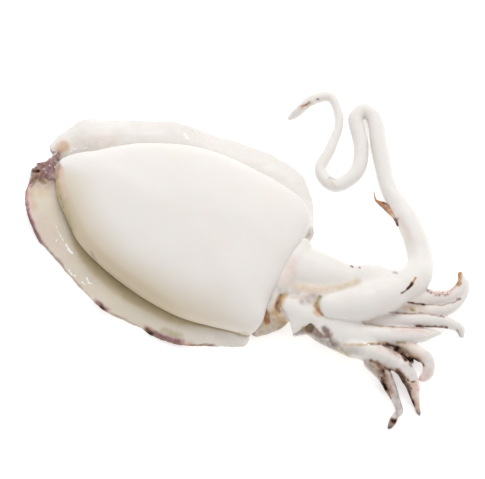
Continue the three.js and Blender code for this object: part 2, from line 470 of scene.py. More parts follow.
@dataclass(frozen=True)
class FleshFinish(Finish):
    """Raw skinned cuttlefish flesh: dense, wet, ivory-white and slightly see-through at its edges.

    The eye gets a soft white body with faint blotches, a thin film of water on it, and the
    rosy and purple-brown places where traces of skin, ink and vessels are left. Painted shade
    lies over it too: a warm tan on the near flank and darker tints in creases and hollows.
    """

    name: str = "raw_cuttlefish_flesh"
    body: str = "#EBE7E5"
    body_warm: str = "#E6E1DA"
    # The thin and full colour of each tint; PAINTED_SHADE is painted shade, and others hold some too.
    tints: dict[Tint, tuple[str, str]] = field(default_factory=lambda: {
        Tint.PAINTED_SHADE: ("#D6C8B0", "#AC9779"),
        Tint.TAN: ("#D3BC9C", "#B08F68"),
        Tint.OLIVE: ("#B4A782", "#726338"),
        Tint.ROSE: ("#E0C6BC", "#B98679"),
        Tint.SLATE: ("#A39490", "#6A5857"),
        Tint.PLUM: ("#A98386", "#5F3A42"),
        Tint.RUST: ("#D0A27E", "#A0602F"),
        Tint.UMBER: ("#9A7C6C", "#2C1007"),
    })
    scatter: float = 0.4
    scatter_reach_mm: float = 1.1
    roughness: float = 0.5
    wet_roughness: float = 0.13
    shine: float = 0.5
    umber_shine: float = 0.08
    ior: float = 1.42
    scatter_tint: tuple[float, float, float] = (1.0, 0.82, 0.62)
    blotch_mm: float = 26.0
    fibre_mm: float = 1.6
    ragged_mm: float = 4.5
    ragged_values: tuple[float, float] = (0.35, 0.65)
    ragged_strengths: tuple[float, float] = (0.75, 1.25)
    thin_until: float = 0.5
    full_from: float = 0.4
    relief_mm: float = 0.25
    relief_strength: float = 0.12

    def shader(self, tree: NodeTree) -> Node:
        """Build the shader in the material's tree."""
        place = add_node(tree, "ShaderNodeTexCoord").outputs["Object"]
        blotch = add_node(tree, "ShaderNodeTexNoise", {}, {
            "Vector": place, "Scale": per_metre(self.blotch_mm), "Detail": 3.0})
        grain = add_node(tree, "ShaderNodeTexNoise", {}, {
            "Vector": place, "Scale": per_metre(self.fibre_mm), "Detail": 4.0, "Roughness": 0.6})
        ragged = add_node(tree, "ShaderNodeTexNoise", {}, {
            "Vector": place, "Scale": per_metre(self.ragged_mm), "Detail": 3.0})
        colour = add_node(tree, "ShaderNodeMix", {"data_type": "RGBA"}, {
            "Factor": blotch.outputs["Fac"], 6: linear(self.body), 7: linear(self.body_warm)}).outputs[2]
        for tint, shades in self.tints.items():
            colour = self._over(tree, colour, tint, shades, ragged.outputs["Fac"])
        wet = add_node(tree, "ShaderNodeAttribute", {"attribute_name": WET}).outputs["Fac"]
        rough = add_node(tree, "ShaderNodeMapRange", {}, {
            "Value": wet, "To Min": self.roughness, "To Max": self.wet_roughness})
        bump = add_node(tree, "ShaderNodeBump", {}, {
            "Height": grain.outputs["Fac"], "Strength": self.relief_strength,
            "Distance": self.relief_mm * METRES_PER_MM})
        # Umber marks, on dark skin and ink and on painted shade in hollows, make the flesh shine less.
        ink = add_node(tree, "ShaderNodeAttribute", {"attribute_name": Tint.UMBER.value}).outputs["Fac"]
        shine = add_node(tree, "ShaderNodeMapRange", {}, {
            "Value": ink, "To Min": self.shine, "To Max": self.umber_shine})
        return add_node(tree, "ShaderNodeBsdfPrincipled", {}, {
            "Base Color": colour,
            "Roughness": rough.outputs["Result"],
            "Specular IOR Level": shine.outputs["Result"],
            "Normal": bump.outputs["Normal"],
            "IOR": self.ior,
            "Subsurface Weight": self.scatter,
            "Subsurface Radius": self.scatter_tint,
            "Subsurface Scale": self.scatter_reach_mm * METRES_PER_MM,
        })

    def _over(
        self, tree: NodeTree, colour: NodeSocket, tint: Tint, shades: tuple[str, str], ragged: NodeSocket
    ) -> NodeSocket:
        """Lay a tint over a colour: thin where its attribute is weak, full where it is strong.

        Args:
            tree: the material's tree.
            colour: the colour under it.
            tint: the tint, whose attribute says where it lies.
            shades: its thin and its full shade, as sRGB hex values.
            ragged: the noise that breaks up its edge.

        Returns:
            The colour with the tint over it.
        """
        strength = add_node(tree, "ShaderNodeAttribute", {"attribute_name": tint.value}).outputs["Fac"]
        # The painted shade is laid smoothly, without the ragged noise.
        if tint is not Tint.PAINTED_SHADE:
            low, high = self.ragged_values
            weak, strong = self.ragged_strengths
            uneven = add_node(tree, "ShaderNodeMapRange", {}, {
                "Value": ragged, "From Min": low, "From Max": high, "To Min": weak, "To Max": strong})
            strength = add_node(tree, "ShaderNodeMath", {"operation": "MULTIPLY"}, {
                0: strength, 1: uneven.outputs["Result"]}).outputs[0]
        thin = add_node(tree, "ShaderNodeMapRange", {}, {"Value": strength, "From Max": self.thin_until})
        full = add_node(tree, "ShaderNodeMapRange", {}, {"Value": strength, "From Min": self.full_from})
        for share, shade in zip((thin, full), shades):
            colour = add_node(tree, "ShaderNodeMix", {"data_type": "RGBA"}, {
                "Factor": share.outputs["Result"], 6: colour, 7: linear(shade)}).outputs[2]
        return colour


@dataclass(frozen=True)
class SuckerFinish(Finish):
    """Wet sucker rings, which give the eye a pale pink to dusky edge on the arms."""

    name: str = "wet_sucker_ring"
    pale: str = "#DCC8C6"
    dusky: str = "#A98688"
    patch_mm: float = 3.85
    patch_values: tuple[float, float] = (0.4, 0.62)
    roughness: float = 0.25
    film: float = 0.3
    film_roughness: float = 0.1

    def shader(self, tree: NodeTree) -> Node:
        """Build the shader in the material's tree."""
        place = add_node(tree, "ShaderNodeTexCoord").outputs["Object"]
        patch = add_node(tree, "ShaderNodeTexNoise", {}, {
            "Vector": place, "Scale": per_metre(self.patch_mm), "Detail": 2.0})
        low, high = self.patch_values
        share = add_node(tree, "ShaderNodeMapRange", {}, {
            "Value": patch.outputs["Fac"], "From Min": low, "From Max": high})
        colour = add_node(tree, "ShaderNodeMix", {"data_type": "RGBA"}, {
            "Factor": share.outputs["Result"], 6: linear(self.pale), 7: linear(self.dusky)})
        return add_node(tree, "ShaderNodeBsdfPrincipled", {}, {
            "Base Color": colour.outputs[2], "Roughness": self.roughness,
            "Coat Weight": self.film, "Coat Roughness": self.film_roughness})


@dataclass(frozen=True)
class WaterGlintFinish(Finish):
    """Near-white beads of water, whose own colour paints small bright glints in the folds."""

    name: str = "glint_white_water_beads"
    # Near-white, so that the beads show as painted glints.
    shade: str = "#FBFBFA"
    ior: float = 1.33
    roughness: float = 0.06
    film: float = 0.6
    film_roughness: float = 0.04

    def shader(self, tree: NodeTree) -> Node:
        """Build the shader in the material's tree."""
        return add_node(tree, "ShaderNodeBsdfPrincipled", {}, {
            "Base Color": linear(self.shade), "Roughness": self.roughness, "IOR": self.ior,
            "Coat Weight": self.film, "Coat Roughness": self.film_roughness})


@dataclass(frozen=True)
class BackdropFinish(Finish):
    """White paper on a light table, which gives the eye a clean ground with faint shadows."""

    name: str = "matt_white_paper"
    shade: str = "#F9F9F9"
    roughness: float = 0.9
    shine: float = 0.1
    glow: float = 0.4

    def shader(self, tree: NodeTree) -> Node:
        """Build the shader in the material's tree."""
        return add_node(tree, "ShaderNodeBsdfPrincipled", {}, {
            "Base Color": linear(self.shade), "Roughness": self.roughness,
            "Specular IOR Level": self.shine, "Emission Color": linear(self.shade),
            "Emission Strength": self.glow})


# ---- The mantle and its fins --------------------------------------------------------------


# The zones, going down from the crown, of the mantle's rim and of the fin's root and edge.
MANTLE_RIM = 1.0
FIN_ROOT = 2.05
FIN_EDGE = 3.0


@dataclass(frozen=True)
class Station:
    """The mantle's rim and the fin's edge beside it, as (along, across) from the tail tip.

    front is 1 where the mantle opens towards the head, and there is no fin.
    """

    rim: tuple[float, float]
    edge: tuple[float, float]
    front: float = 0.0


OUTLINE = tuple(Station(*row) for row in (
    ((-1, 1.5), (-4, 2)),
    ((0.5, 6.5), (-9, 8.5)),
    ((4.5, 12), (-15, 13)),
    ((10, 17), (-12, 26.5)),
    ((18, 23), (-2.5, 42.5)),
    ((28, 32), (11, 52)),
    ((43, 44), (30, 62.5)),
    ((60, 54), (52, 74.5)),
    ((80, 62.5), (76, 80)),
    ((103, 67.5), (103, 86)),
    ((130, 69), (133, 89)),
    ((152, 68.5), (156, 86)),
    ((169, 65), (173.5, 70.5)),
    ((179, 56), (180.5, 58)),
    ((182.5, 42), (186, 47.5)),
    ((182.5, 25), (175, 25), 1.0),
    ((183.5, 5), (176, 5), 1.0),
    ((184.5, -14), (177, -14), 1.0),
    ((188, -30), (180, -27), 1.0),
    ((184, -40.5), (184, -45)),
    ((172, -44), (174, -53)),
    ((155, -49), (158, -62.5)),
    ((136, -53.5), (138, -70.5)),
    ((112, -54.5), (112, -72)),
    ((88, -52.5), (85, -74)),
    ((66, -48.5), (60, -68)),
    ((44, -41.5), (36, -59)),
    ((26, -29.5), (14, -50.5)),
    ((12, -18.5), (-2, -38)),
    ((4, -8), (-12, -23)),
    ((0, -2), (-15, -8)),
))

MANTLE_STAINS_AND_SHADE = stains_and_shade_of({
    Tint.TAN: (
        (0.8, 3.6, ((60.5, 148), (64, 147)), 0.8),
        (0.9, 3.2, ((58, 172), (57, 184), (59, 196))),
        (0.3, 5.5, ((46, 183), (42, 190))),
    ),
    Tint.OLIVE: (
        (0.9, 1.8, ((41, 180), (44, 181.5)), 0.9),
        # Painted olive shade along the crease on the mantle's near flank, towards the tail.
        (0.5, 2.8, ((60, 188), (63, 205), (67, 217), (72, 229))),
        # Painted olive shade in the crease beside the near fin, and at the mantle's front corner.
        (0.34, 2.6, ((164, 332), (172, 334.5), (179, 336))),
        (0.34, 2, ((240, 334), (248, 335))),
    ),
    Tint.ROSE: (
        (0.3, 3.2, ((60.5, 147), (63.5, 145.5))),
        (0.16, 3, ((74, 142), (100, 140), (112, 141))),
        (0.34, 2, ((61, 170), (62, 184), (65, 196))),
        (0.14, 5, ((-149.25, 28.75, 8), (-140, 12.75, 8), (-129.75, -2.5, 8))),
    ),
    Tint.SLATE: (
        # Painted grey shade on the low lobe at the front end of the far fin.
        (0.26, 2.9, ((309, 236), (312, 232))),
        (0.45, 0.7, ((91, 252), (93, 255), (96, 260)), 0.7),
    ),
    Tint.PLUM: (
        # Painted shade along the dark underside of the far fin's lobe at the tail.
        (0.6, 0.8, ((50, 151), (52, 152.5), (56, 153)), 0.8),
        (0.55, 2, ((59, 160), (58, 168)), 0.8),
        (0.2, 3, ((38, 183), (48, 184), (55, 182))),
    ),
    Tint.UMBER: (
        (0.18, 0.7, ((92, 253), (94, 256)), 0.85),
        (0.5, 1.3, ((40, 178), (42, 181))),
    ),
})


@dataclass(frozen=True)
class RimSkin:
    """A trace of torn skin along the fin's edge, between two stations of the outline."""

    tint: Tint
    strength: float
    width: float
    first: float
    last: float
    ease: float = 0.25
    reach: float = 1.5

    def felt(self, stations: Array, inward: Array) -> Array:
        """How strongly the skin shows.

        Args:
            stations: places round the outline.
            inward: distances in from the fin's edge, in millimetres, with the skin's ragged
                border already added.

        Returns:
            Values from 0 to the skin's strength.
        """
        run = Band(self.first, self.ease, self.last, self.ease).share(stations)
        return self.strength * run * smooth(self.reach - inward / self.width)


RIM_SKINS = (
    RimSkin(Tint.ROSE, 0.6, 3.2, 27.2, 31.0),
    RimSkin(Tint.PLUM, 0.64, 1.9, 26.6, 28.3),
    RimSkin(Tint.PLUM, 0.46, 1.1, 28.0, 31.0),
    RimSkin(Tint.TAN, 0.34, 8.0, 27.8, 30.8),
    RimSkin(Tint.SLATE, 0.26, 1.0, 25.4, 27.2),
    RimSkin(Tint.UMBER, 0.22, 0.6, 24.5, 27.6),
    RimSkin(Tint.UMBER, 0.9, 1.7, 23.85, 24.35),
    RimSkin(Tint.PLUM, 0.5, 2.6, 23.8, 24.5),
    RimSkin(Tint.UMBER, 0.22, 0.6, 22.9, 24.0),
    RimSkin(Tint.UMBER, 0.85, 2.4, 22.4, 22.95),
    RimSkin(Tint.UMBER, 0.42, 0.7, 20.4, 22.7),
    RimSkin(Tint.PLUM, 0.62, 3.4, 21.5, 22.8),
    RimSkin(Tint.ROSE, 0.62, 3.2, 21.2, 23.0),
)


@dataclass(frozen=True)
class WetPatch:
    """A patch of wet, finely crinkled skin, between two stations and between two zones."""

    stations: tuple[float, float]
    zones: tuple[float, float]
    station_ease: float = 0.5
    zone_ease: float = 0.15

    def felt(self, stations: Array, zones: Array) -> Array:
        """How crinkled the skin is at each column's station and each row's zone, from 0 to 1."""
        first, last = self.stations
        by_column = Band(first, self.station_ease, last, self.station_ease).share(stations)
        upper, lower = self.zones
        by_row = Band(upper, self.zone_ease, lower, self.zone_ease).share(zones)
        return by_row[:, None] * by_column


WET_PATCHES = (
    WetPatch((0.8, 6.4), (1.7, 2.5)),
    WetPatch((1.2, 4.0), (0.86, 1.6)),
    WetPatch((25.2, 27.6), (2.5, 2.93)),
    WetPatch((24.4, 25.6), (2.6, 2.93)),
)


@dataclass(frozen=True)
class CreaseShade:
    """Painted shade: the warm tan on the near flank of the mantle and on the near fin, and the darker tan
    in the creases beside them.

    Bands round the outline are in stations, and bands down the surface are in zones. The painted shade
    in the near crease spreads wider towards the tail, with painted olive shade in the deep of it.
    """

    near_side: Band = Band(17.36, 4.34, 31.31, 3.72)
    near_crease: Band = Band(18.4, 1.8, 31.31, 3.72)
    tail_start: float = 20.8
    tail_rise: float = 2.8
    headward: float = 0.62
    widening: Band = Band(20.4, 2.6, 27.5, 2.5)
    spreads: tuple[float, float] = (0.14, 0.45)
    flank: Band = Band(0.38, 0.5, 2.2, 0.9)
    flank_warmth: float = 0.58
    fin: Band = Band(2.0, 0.3, 3.6, 0.6)
    fin_warmth: float = 0.32
    crease: Band = Band(0.95, 0.35, 2.2, 0.25)
    crease_reach: float = 1.3
    crease_warmth: float = 0.95
    far_crease: Band = Band(1.3, 0.4, 2.2, 0.3)
    far_warmth: float = 0.16
    deep: Band = Band(1.2, 0.4, 2.16, 0.24)
    deep_reach: float = 1.4
    deep_olive_shade: float = 0.36

    def lay(self, tints: dict[Tint, Array], zones: Array, stations: Array) -> None:
        """Lay the painted shade on the mantle and fins.

        Args:
            tints: the strengths so far, changed in place.
            zones: each row's zone.
            stations: each column's place round the outline.
        """
        down = zones[:, None]
        tailward = mix(self.headward, 1.0, smooth((stations - self.tail_start) / self.tail_rise))
        in_crease = tailward * self.near_crease.share(stations)
        spread = mix(*self.spreads, self.widening.opening(stations)) * self.widening.closing(stations)
        crease = self.crease.widened(self.crease_reach * spread, spread).share(down)
        deep = self.deep.widened(self.deep_reach * spread, self.deep_reach * spread).share(down)
        on_flank = self.flank_warmth * self.flank.share(down)
        on_fin = self.fin_warmth * self.fin.share(down)
        near = np.maximum(on_flank, on_fin) * tailward * self.near_side.share(stations)
        far = self.far_warmth * self.far_crease.share(down)
        # Painted shade on the flank, the near fin and both creases.
        warm = np.maximum(np.maximum(near, self.crease_warmth * crease * in_crease), far)
        deepen(tints, Tint.PAINTED_SHADE, warm)
        # Painted olive shade in the deep of the near crease.
        deepen(tints, Tint.OLIVE, self.deep_olive_shade * deep * in_crease)


@dataclass
class MantleAndFins:
    """The domed mantle with its rim tucked under, and the fin that edges it on both sides.

    Lengths are in millimetres. Of a pair of heights or depths, the first holds beside the fins
    and the second at the front. The grid and the zones are there once the piece is built.
    """

    tail_tip: tuple[float, float] = (-138.0, 64.5)
    turn: float = math.radians(-30)
    crown: tuple[float, float] = (102.0, 8.0)
    crown_height: float = 38.0
    crown_span: tuple[float, float] = (100.0, 58.0)
    fullness: float = 0.85
    oval_hold: float = 3.0
    rim_height: tuple[float, float] = (12.0, 17.8)
    crease_depth: tuple[float, float] = (3.0, 9.0)
    crease_height: tuple[float, float] = (6.5, 9.0)
    fin_arch: float = 1.8
    fin_edge_height: float = 3.2
    fin_edge_thickness: float = 1.4
    fin_underside: float = 0.5
    roll_height: float = 5.0
    roll_station: float = 4.0
    roll_spread: float = 2.6
    ruffles: tuple[tuple[float, int, float], ...] = ((1.3, 9, 1.0), (0.8, 17, 0.4))
    seat_share: float = 0.84
    corner_ease: float = 0.55
    rim_ease: float = 0.07
    fin_edge_share: float = 0.2
    frays: tuple[Relief, ...] = (Relief(61, 0.045, 0.45), Relief(62, 0.018, 0.25))
    torn_out: float = 0.9
    swells: tuple[Relief, ...] = (Relief(3, 34.0, 0.7), Relief(5, 11.0, 0.16))
    folds: tuple[Relief, ...] = (Relief(7, 8.0, 0.45), Relief(8, 3.4, 0.14))
    folds_on_fin: Band = Band(2.0, 0.3, 3.25, 0.2)
    dome_end: float = 1.05
    dome_ease: float = 0.2
    crinkle: Relief = Relief(9, 3.6, 0.42)
    ragged_skin: Relief = Relief(21, 4.0, 0.9)
    shade: CreaseShade = CreaseShade()
    puddles: Relief = Relief(31, 9.0, 2.0)
    puddle_wetness: float = 0.3
    wetness: tuple[float, float] = (0.15, 0.55)
    columns: int = 700
    dome_rows: int = 58
    tuck_rows: int = 10
    fin_rows: int = 30
    edge_rows: int = 5
    under_rows: int = 8
    beside_mm: float = 0.5
    grid: Array | None = None
    zones: Array | None = None

    def build(self, flesh: Material) -> Object:
        """Build the mantle and its fins as one closed mesh.

        Args:
            flesh: the flesh material.

        Returns:
            The piece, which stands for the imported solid.
        """
        turns = np.arange(self.columns) / self.columns
        stations = turns * len(OUTLINE)
        grid, self.zones = self._grid(turns)
        crinkled = self._crinkled(self.zones, stations)
        grid = self._with_relief(grid, self.zones, crinkled)
        crown, seat = (*self.crown, self.crown_height), (*self.crown, 0.0)
        points = self._placed(np.vstack([grid.reshape(-1, 3), crown, seat]))
        faces = closed_rings(*grid.shape[:2])
        tints = stained_and_shaded(points, faces, MANTLE_STAINS_AND_SHADE)
        # Painted shade on the near flank and in the creases.
        self.shade.lay(tints, self.zones, stations)
        self._skin_rim(tints, grid, self.zones, stations)
        wetness = self._wetness(points, self.zones, crinkled)
        self.grid = self._placed(grid.reshape(-1, 3)).reshape(grid.shape)
        piece = flesh_piece("mantle_and_fins", points, faces, flesh, tints, wetness)
        claim(piece, replaces_solid=True)
        return piece

    def _grid(self, turns: Array) -> tuple[Array, Array]:
        """The surface in the mantle's own frame.

        Args:
            turns: places round the outline, from 0 to 1.

        Returns:
            Points by row and column, and for each row its zone: 0 to 1 down the dome, 1 to 2
            round the tuck, 2 to 3 across the fin's top, 3 to 4 round its edge and underneath.
        """
        controls = np.array([[*station.rim, *station.edge, station.front] for station in OUTLINE])
        rim = spline(controls[:, :2], turns, True, 2)
        edge = spline(controls[:, 2:4], turns, True, 2)
        front = np.clip(spline(controls[:, [4, 0]], turns, True, 2)[:, 0], 0.0, 1.0)
        crown = np.array(self.crown)
        spoke = rim - crown
        reach = np.linalg.norm(spoke, axis=1, keepdims=True)
        spoke /= reach
        oval = 1.0 / np.hypot(spoke[:, 0] / self.crown_span[0], spoke[:, 1] / self.crown_span[1])
        oval = self._eased(np.minimum(oval, reach[:, 0]), self.corner_ease / 4)
        edge = edge + unit(edge - rim) * (self._fray(turns) * (1 - front))[:, None]
        rim_height = self._eased(mix(*self.rim_height, front), self.rim_ease)
        crease_height = mix(*self.crease_height, front)
        crease = rim - spoke * mix(*self.crease_depth, front)[:, None]
        seat = mix(crown, rim, self.seat_share)
        roll, ruffle = self._fin_lift(turns)
        edge_top = np.maximum(self.fin_edge_height + (1 - front) * (ruffle + roll),
                              self.fin_edge_thickness + self.fin_underside)

        rows, zones = [], []
        for lean in steps(self.dome_rows):
            share = math.sin(lean * math.pi / 2)
            eased = self._eased(reach[:, 0], self.corner_ease * (1 - share))
            length = share * mix(oval, eased, share ** self.oval_hold)
            rise = math.cos(lean * math.pi / 2) ** self.fullness
            plan = crown + spoke * length[:, None]
            base = self._eased(rim_height, self.corner_ease * (1 - share))
            rows.append(np.column_stack([plan, mix(base, self.crown_height, rise)]))
            zones.append(lean)
        for tuck in steps(self.tuck_rows):
            angle = tuck * math.pi / 2
            plan = mix(rim, crease, 1 - math.cos(angle))
            rows.append(np.column_stack([plan, mix(rim_height, crease_height, math.sin(angle))]))
            zones.append(1 + tuck)
        half = self.fin_edge_thickness / 2
        outward = unit(edge - crease)
        inner_edge = edge - outward * half
        for out in steps(self.fin_rows):
            arch = math.sin(out * math.pi) * (self.fin_arch + (1 - front) * roll)
            plan = mix(crease, inner_edge, out)
            rows.append(np.column_stack([plan, mix(crease_height, edge_top, out) + arch]))
            zones.append(2 + out)
        for bend in steps(self.edge_rows):
            angle = bend * math.pi
            plan = inner_edge + outward * half * math.sin(angle)
            rows.append(np.column_stack([plan, edge_top - half * (1 - math.cos(angle))]))
            zones.append(3 + self.fin_edge_share * bend)
        for back in steps(self.under_rows):
            plan = mix(inner_edge, seat, back)
            height = (edge_top - self.fin_edge_thickness) * (1 - back) ** 2
            rows.append(np.column_stack([plan, height]))
            zones.append(3 + mix(self.fin_edge_share, 1.0, back))
        return np.array(rows), np.array(zones)

    @staticmethod
    def _eased(ring: Array, spread: float) -> Array:
        """A closed ring of values with its corners eased over an angle, in radians."""
        waves = np.fft.rfft(ring)
        fading = np.exp(-0.5 * (np.arange(len(waves)) * spread) ** 2)
        return np.fft.irfft(waves * fading, len(ring))

    def _fray(self, turns: Array) -> Array:
        """How far torn skin and small tears move the fin's edge outward, in millimetres."""
        round_edge = np.column_stack([np.cos(2 * math.pi * turns), np.sin(2 * math.pi * turns), turns * 0])
        fray = summed(self.frays, round_edge)
        for skin in RIM_SKINS:
            if skin.tint is Tint.PLUM:
                fray += self.torn_out * skin.felt(turns * len(OUTLINE), np.zeros(len(turns)))
        return fray

    def _fin_lift(self, turns: Array) -> tuple[Array, Array]:
        """The height of the rolled tail end of the far fin, and of both fins' ruffles."""
        from_roll = turns * len(OUTLINE) - self.roll_station
        roll = self.roll_height * np.exp(-(from_roll / self.roll_spread) ** 2)
        ruffle = sum(height * np.sin(waves * turns * 2 * math.pi + phase)
                     for height, waves, phase in self.ruffles)
        return roll, ruffle

    @staticmethod
    def _crinkled(zones: Array, stations: Array) -> Array:
        """Where the wet skin is crinkled, from 0 to 1, by row and column."""
        return np.max([patch.felt(stations, zones) for patch in WET_PATCHES], axis=0)

    def _with_relief(self, grid: Array, zones: Array, crinkled: Array) -> Array:
        """The surface with its soft swells, the folds that cross the fins, and wet crinkles.

        Args:
            grid: points by row and column.
            zones: each row's zone.
            crinkled: where the skin is crinkled, by row and column.

        Returns:
            The moved points.
        """
        flat = grid.reshape(-1, 3)
        swell, fold, crinkle = (
            summed(reliefs, flat).reshape(crinkled.shape)
            for reliefs in (self.swells, self.folds, (self.crinkle,)))
        on_dome = smooth((self.dome_end - zones) / self.dome_ease)[:, None]
        on_fin = self.folds_on_fin.share(zones)[:, None]
        lift = swell * on_dome + fold * on_fin + crinkle * crinkled
        return grid + self.grid_facing(grid) * lift[:, :, None]

    def _beside(self, places: Array) -> tuple[Array, ...]:
        """The row and column of the topmost point of the grid beside each place."""
        top = self.grid[self.zones <= FIN_EDGE]
        points = top.reshape(-1, 3)
        found = []
        for place in places:
            gap = np.linalg.norm(points[:, :2] - place[:2], axis=1)
            near = np.flatnonzero(gap < gap.min() + self.beside_mm)
            found.append(near[points[near, 2].argmax()])
        return np.unravel_index(found, top.shape[:2])

    def rested(self, places: Array) -> Array:
        """Places moved straight up or down on to the top of the mantle and its fins."""
        return np.column_stack([places[:, :2], self.grid[self._beside(places)][:, 2]])

    def facing(self, places: Array) -> Array:
        """The way out of the flesh beside any places, one unit long."""
        return self.grid_facing(self.grid)[self._beside(places)]

    @staticmethod
    def grid_facing(grid: Array) -> Array:
        """The way out of the flesh at every point of the grid, one unit long."""
        along_rows = np.gradient(grid, axis=0)
        along_columns = (np.roll(grid, -1, axis=1) - np.roll(grid, 1, axis=1)) / 2
        return unit(np.cross(along_columns, along_rows))

    def _placed(self, points: Array) -> Array:
        """Points turned and set in the animal's frame."""
        cos, sin = math.cos(self.turn), math.sin(self.turn)
        along, across, height = points.T
        return np.column_stack([
            along * cos - across * sin + self.tail_tip[0],
            along * sin + across * cos + self.tail_tip[1],
            height,
        ])

    def _skin_rim(
        self, tints: dict[Tint, Array], grid: Array, zones: Array, stations: Array
    ) -> None:
        """Lay the traces of skin along the fin's edge.

        Args:
            tints: the strengths so far, changed in place.
            grid: points by row and column.
            zones: each row's zone.
            stations: each column's place round the outline.
        """
        edge = grid[np.searchsorted(zones, FIN_EDGE)]
        inward = np.linalg.norm(grid - edge, axis=2)
        inward += self.ragged_skin.at(grid.reshape(-1, 3)).reshape(inward.shape)
        on_fin = (zones > FIN_ROOT)[:, None]
        for skin in RIM_SKINS:
            deepen(tints, skin.tint, skin.felt(stations, inward) * on_fin)

    def _wetness(self, points: Array, zones: Array, crinkled: Array) -> Array:
        """How wet each point is: the fins are wetter than the mantle, and water lies in folds.

        Args:
            points: the piece's points, whose last two are the crown and the seat.
            zones: each row's zone.
            crinkled: where the skin is crinkled, by row and column.

        Returns:
            Values from 0 to 1.
        """
        dome_wetness, fin_wetness = self.wetness
        rings = np.repeat(mix(dome_wetness, fin_wetness, smooth(zones - MANTLE_RIM)), self.columns)
        puddles = self.puddle_wetness * smooth(self.puddles.at(points[:-2]))
        wet = rings + puddles * (rings > self.puddle_wetness) + crinkled.reshape(-1)
        return np.append(np.clip(wet, 0.0, 1.0), [dome_wetness, dome_wetness])


# ---- The head, arms and tentacle ----------------------------------------------------------


@dataclass(frozen=True)
class Lobe:
    """A soft tapering form along a route of (x, y, z, radius).

    high flattens or raises its section, and blend is how far it runs into what is there.
    """

    name: str
    route: tuple[Point, ...]
    blend: float = 1.2
    high: float = 1.0


HEAD_LOBES = (
    Lobe("head", (
        (34.5, -38, 9, 12.5), (47, -46, 10, 14), (59.5, -54, 10, 14.5), (72, -60, 9.5, 13.5),
        (83.5, -65, 9, 11)), 4.0, 0.72),
    Lobe("near side of the head", (
        (40.5, -50, 7, 7), (51, -56, 7, 9), (61.5, -62.5, 7, 9), (73.5, -69.5, 7, 8)), 4.0, 0.8),
    Lobe("collar", ((23, -29.5, 8, 9), (16.5, -38, 8, 8), (11, -46.5, 7, 7), (7.5, -53.5, 6, 6)), 3.0),
    Lobe("fan of the collar", (
        (26, -45, 9, 7), (21.5, -49.5, 7, 7), (14.5, -54, 5.5, 6), (6.5, -57.5, 4.5, 4.5)), 2.5, 0.8),
    Lobe("pale fold", (
        (25, -34.5, 14, 5), (21, -40, 14, 4.5), (18, -45, 12, 4), (16.5, -49.5, 9, 3.5)), 2.0),
    Lobe("neck", (
        (17.5, -5.5, 4.5, 18.5), (32.5, -10, 7.8, 18), (46, -14.8, 11, 15.8), (60, -18.5, 12, 13),
        (72.5, -20, 12.5, 9.5), (82.5, -19.5, 12.5, 7.5)), 1.8, 0.68),
    Lobe("neck fold", (
        (24.5, -26, 8, 9), (37, -30, 11, 8.5), (55, -32.5, 12.5, 8.5), (72.5, -30.5, 13, 9),
        (88, -27, 13, 9.5)), 2.2, 0.85),
    Lobe("crown of the arms", (
        (77, -21, 11, 7), (88.5, -20.5, 12.5, 9.5), (101, -24.5, 13, 9), (110.5, -29, 13, 8)), 5.0),
    Lobe("lip collar", (
        (39.5, 3, 13.5, 6), (33, -7.5, 16, 7), (28.5, -16, 16.5, 7), (24.5, -24.5, 16, 7),
        (20, -32, 13.5, 6)), 3, 0.85),
    Lobe("ridge of the funnel", (
        (29, -42.5, 18, 4.6), (35.5, -44, 19.5, 6), (42.5, -47.5, 19.5, 6), (48.5, -50.5, 18, 4.5),
        (53, -53, 16.5, 2.6)), 2.5, 0.45),
    Lobe("left of the flap", (
        (30, -43.5, 18, 4.4), (32.5, -49.5, 16.5, 4.4), (33.5, -55, 14.8, 3.8),
        (33, -59, 12.6, 2.2)), 3.5, 0.42),
    Lobe("middle of the flap", (
        (36, -45, 19, 6), (37.5, -50.5, 17.5, 5.6), (37, -54.5, 15.6, 4.2)), 3.5, 0.42),
    Lobe("right of the flap", ((42, -48, 19, 5.4), (43, -51, 17.6, 4.6)), 3.5, 0.42),
    Lobe("hem of the flap", (
        (33, -60, 12.3, 1.6), (37, -57.5, 13.8, 2), (41, -55.5, 15, 2.1), (45.5, -53.5, 16, 1.8),
        (49.5, -52.5, 16, 1.4)), 1.5, 0.8),
    Lobe("edge under the flap", ((33.5, -60, 5, 2), (37.5, -58.6, 6, 2.6), (42, -57, 7, 3)), 1.5, 0.8),
    Lobe("web between two arms", ((92, -65, 4, 4), (98, -68, 4, 4), (103, -71.5, 4, 4)), 1.5),
    Lobe("root of the tentacle", (
        (59, -44, 18, 9.6), (68.5, -43.5, 18, 11), (80.5, -41.5, 17.5, 12.6)), 0.8),
)

TENTACLE = Lobe("tentacle", (
    (76, -42, 17.5, 11.6), (95, -36, 17, 13.2), (105.5, -30.5, 16, 11.7),
    (119, -21, 14, 11), (123, -8, 11, 9.2), (115.8, 23.5, 8.5, 8.4), (102.4, 49.5, 6.6, 6.4),
    (96.4, 81.5, 6.2, 6.3), (92.5, 105.5, 5.6, 5.7), (85.5, 111.5, 5.4, 5.4), (79.5, 106, 5.4, 5.4),
    (82.8, 83.5, 5.2, 5.3), (79.5, 64, 5.3, 5.4), (63.5, 53, 5.2, 5.3), (53, 64.5, 4.6, 4.6),
    (61, 83.5, 3.8, 3.8), (67.3, 105, 3.4, 3.2), (61, 123, 3.5, 3.5), (46, 120, 3.8, 3.9),
    (40, 114.5, 3.4, 3.6), (35, 110, 3.0, 3.2), (31, 107, 2.2, 1.9)), 5.0)

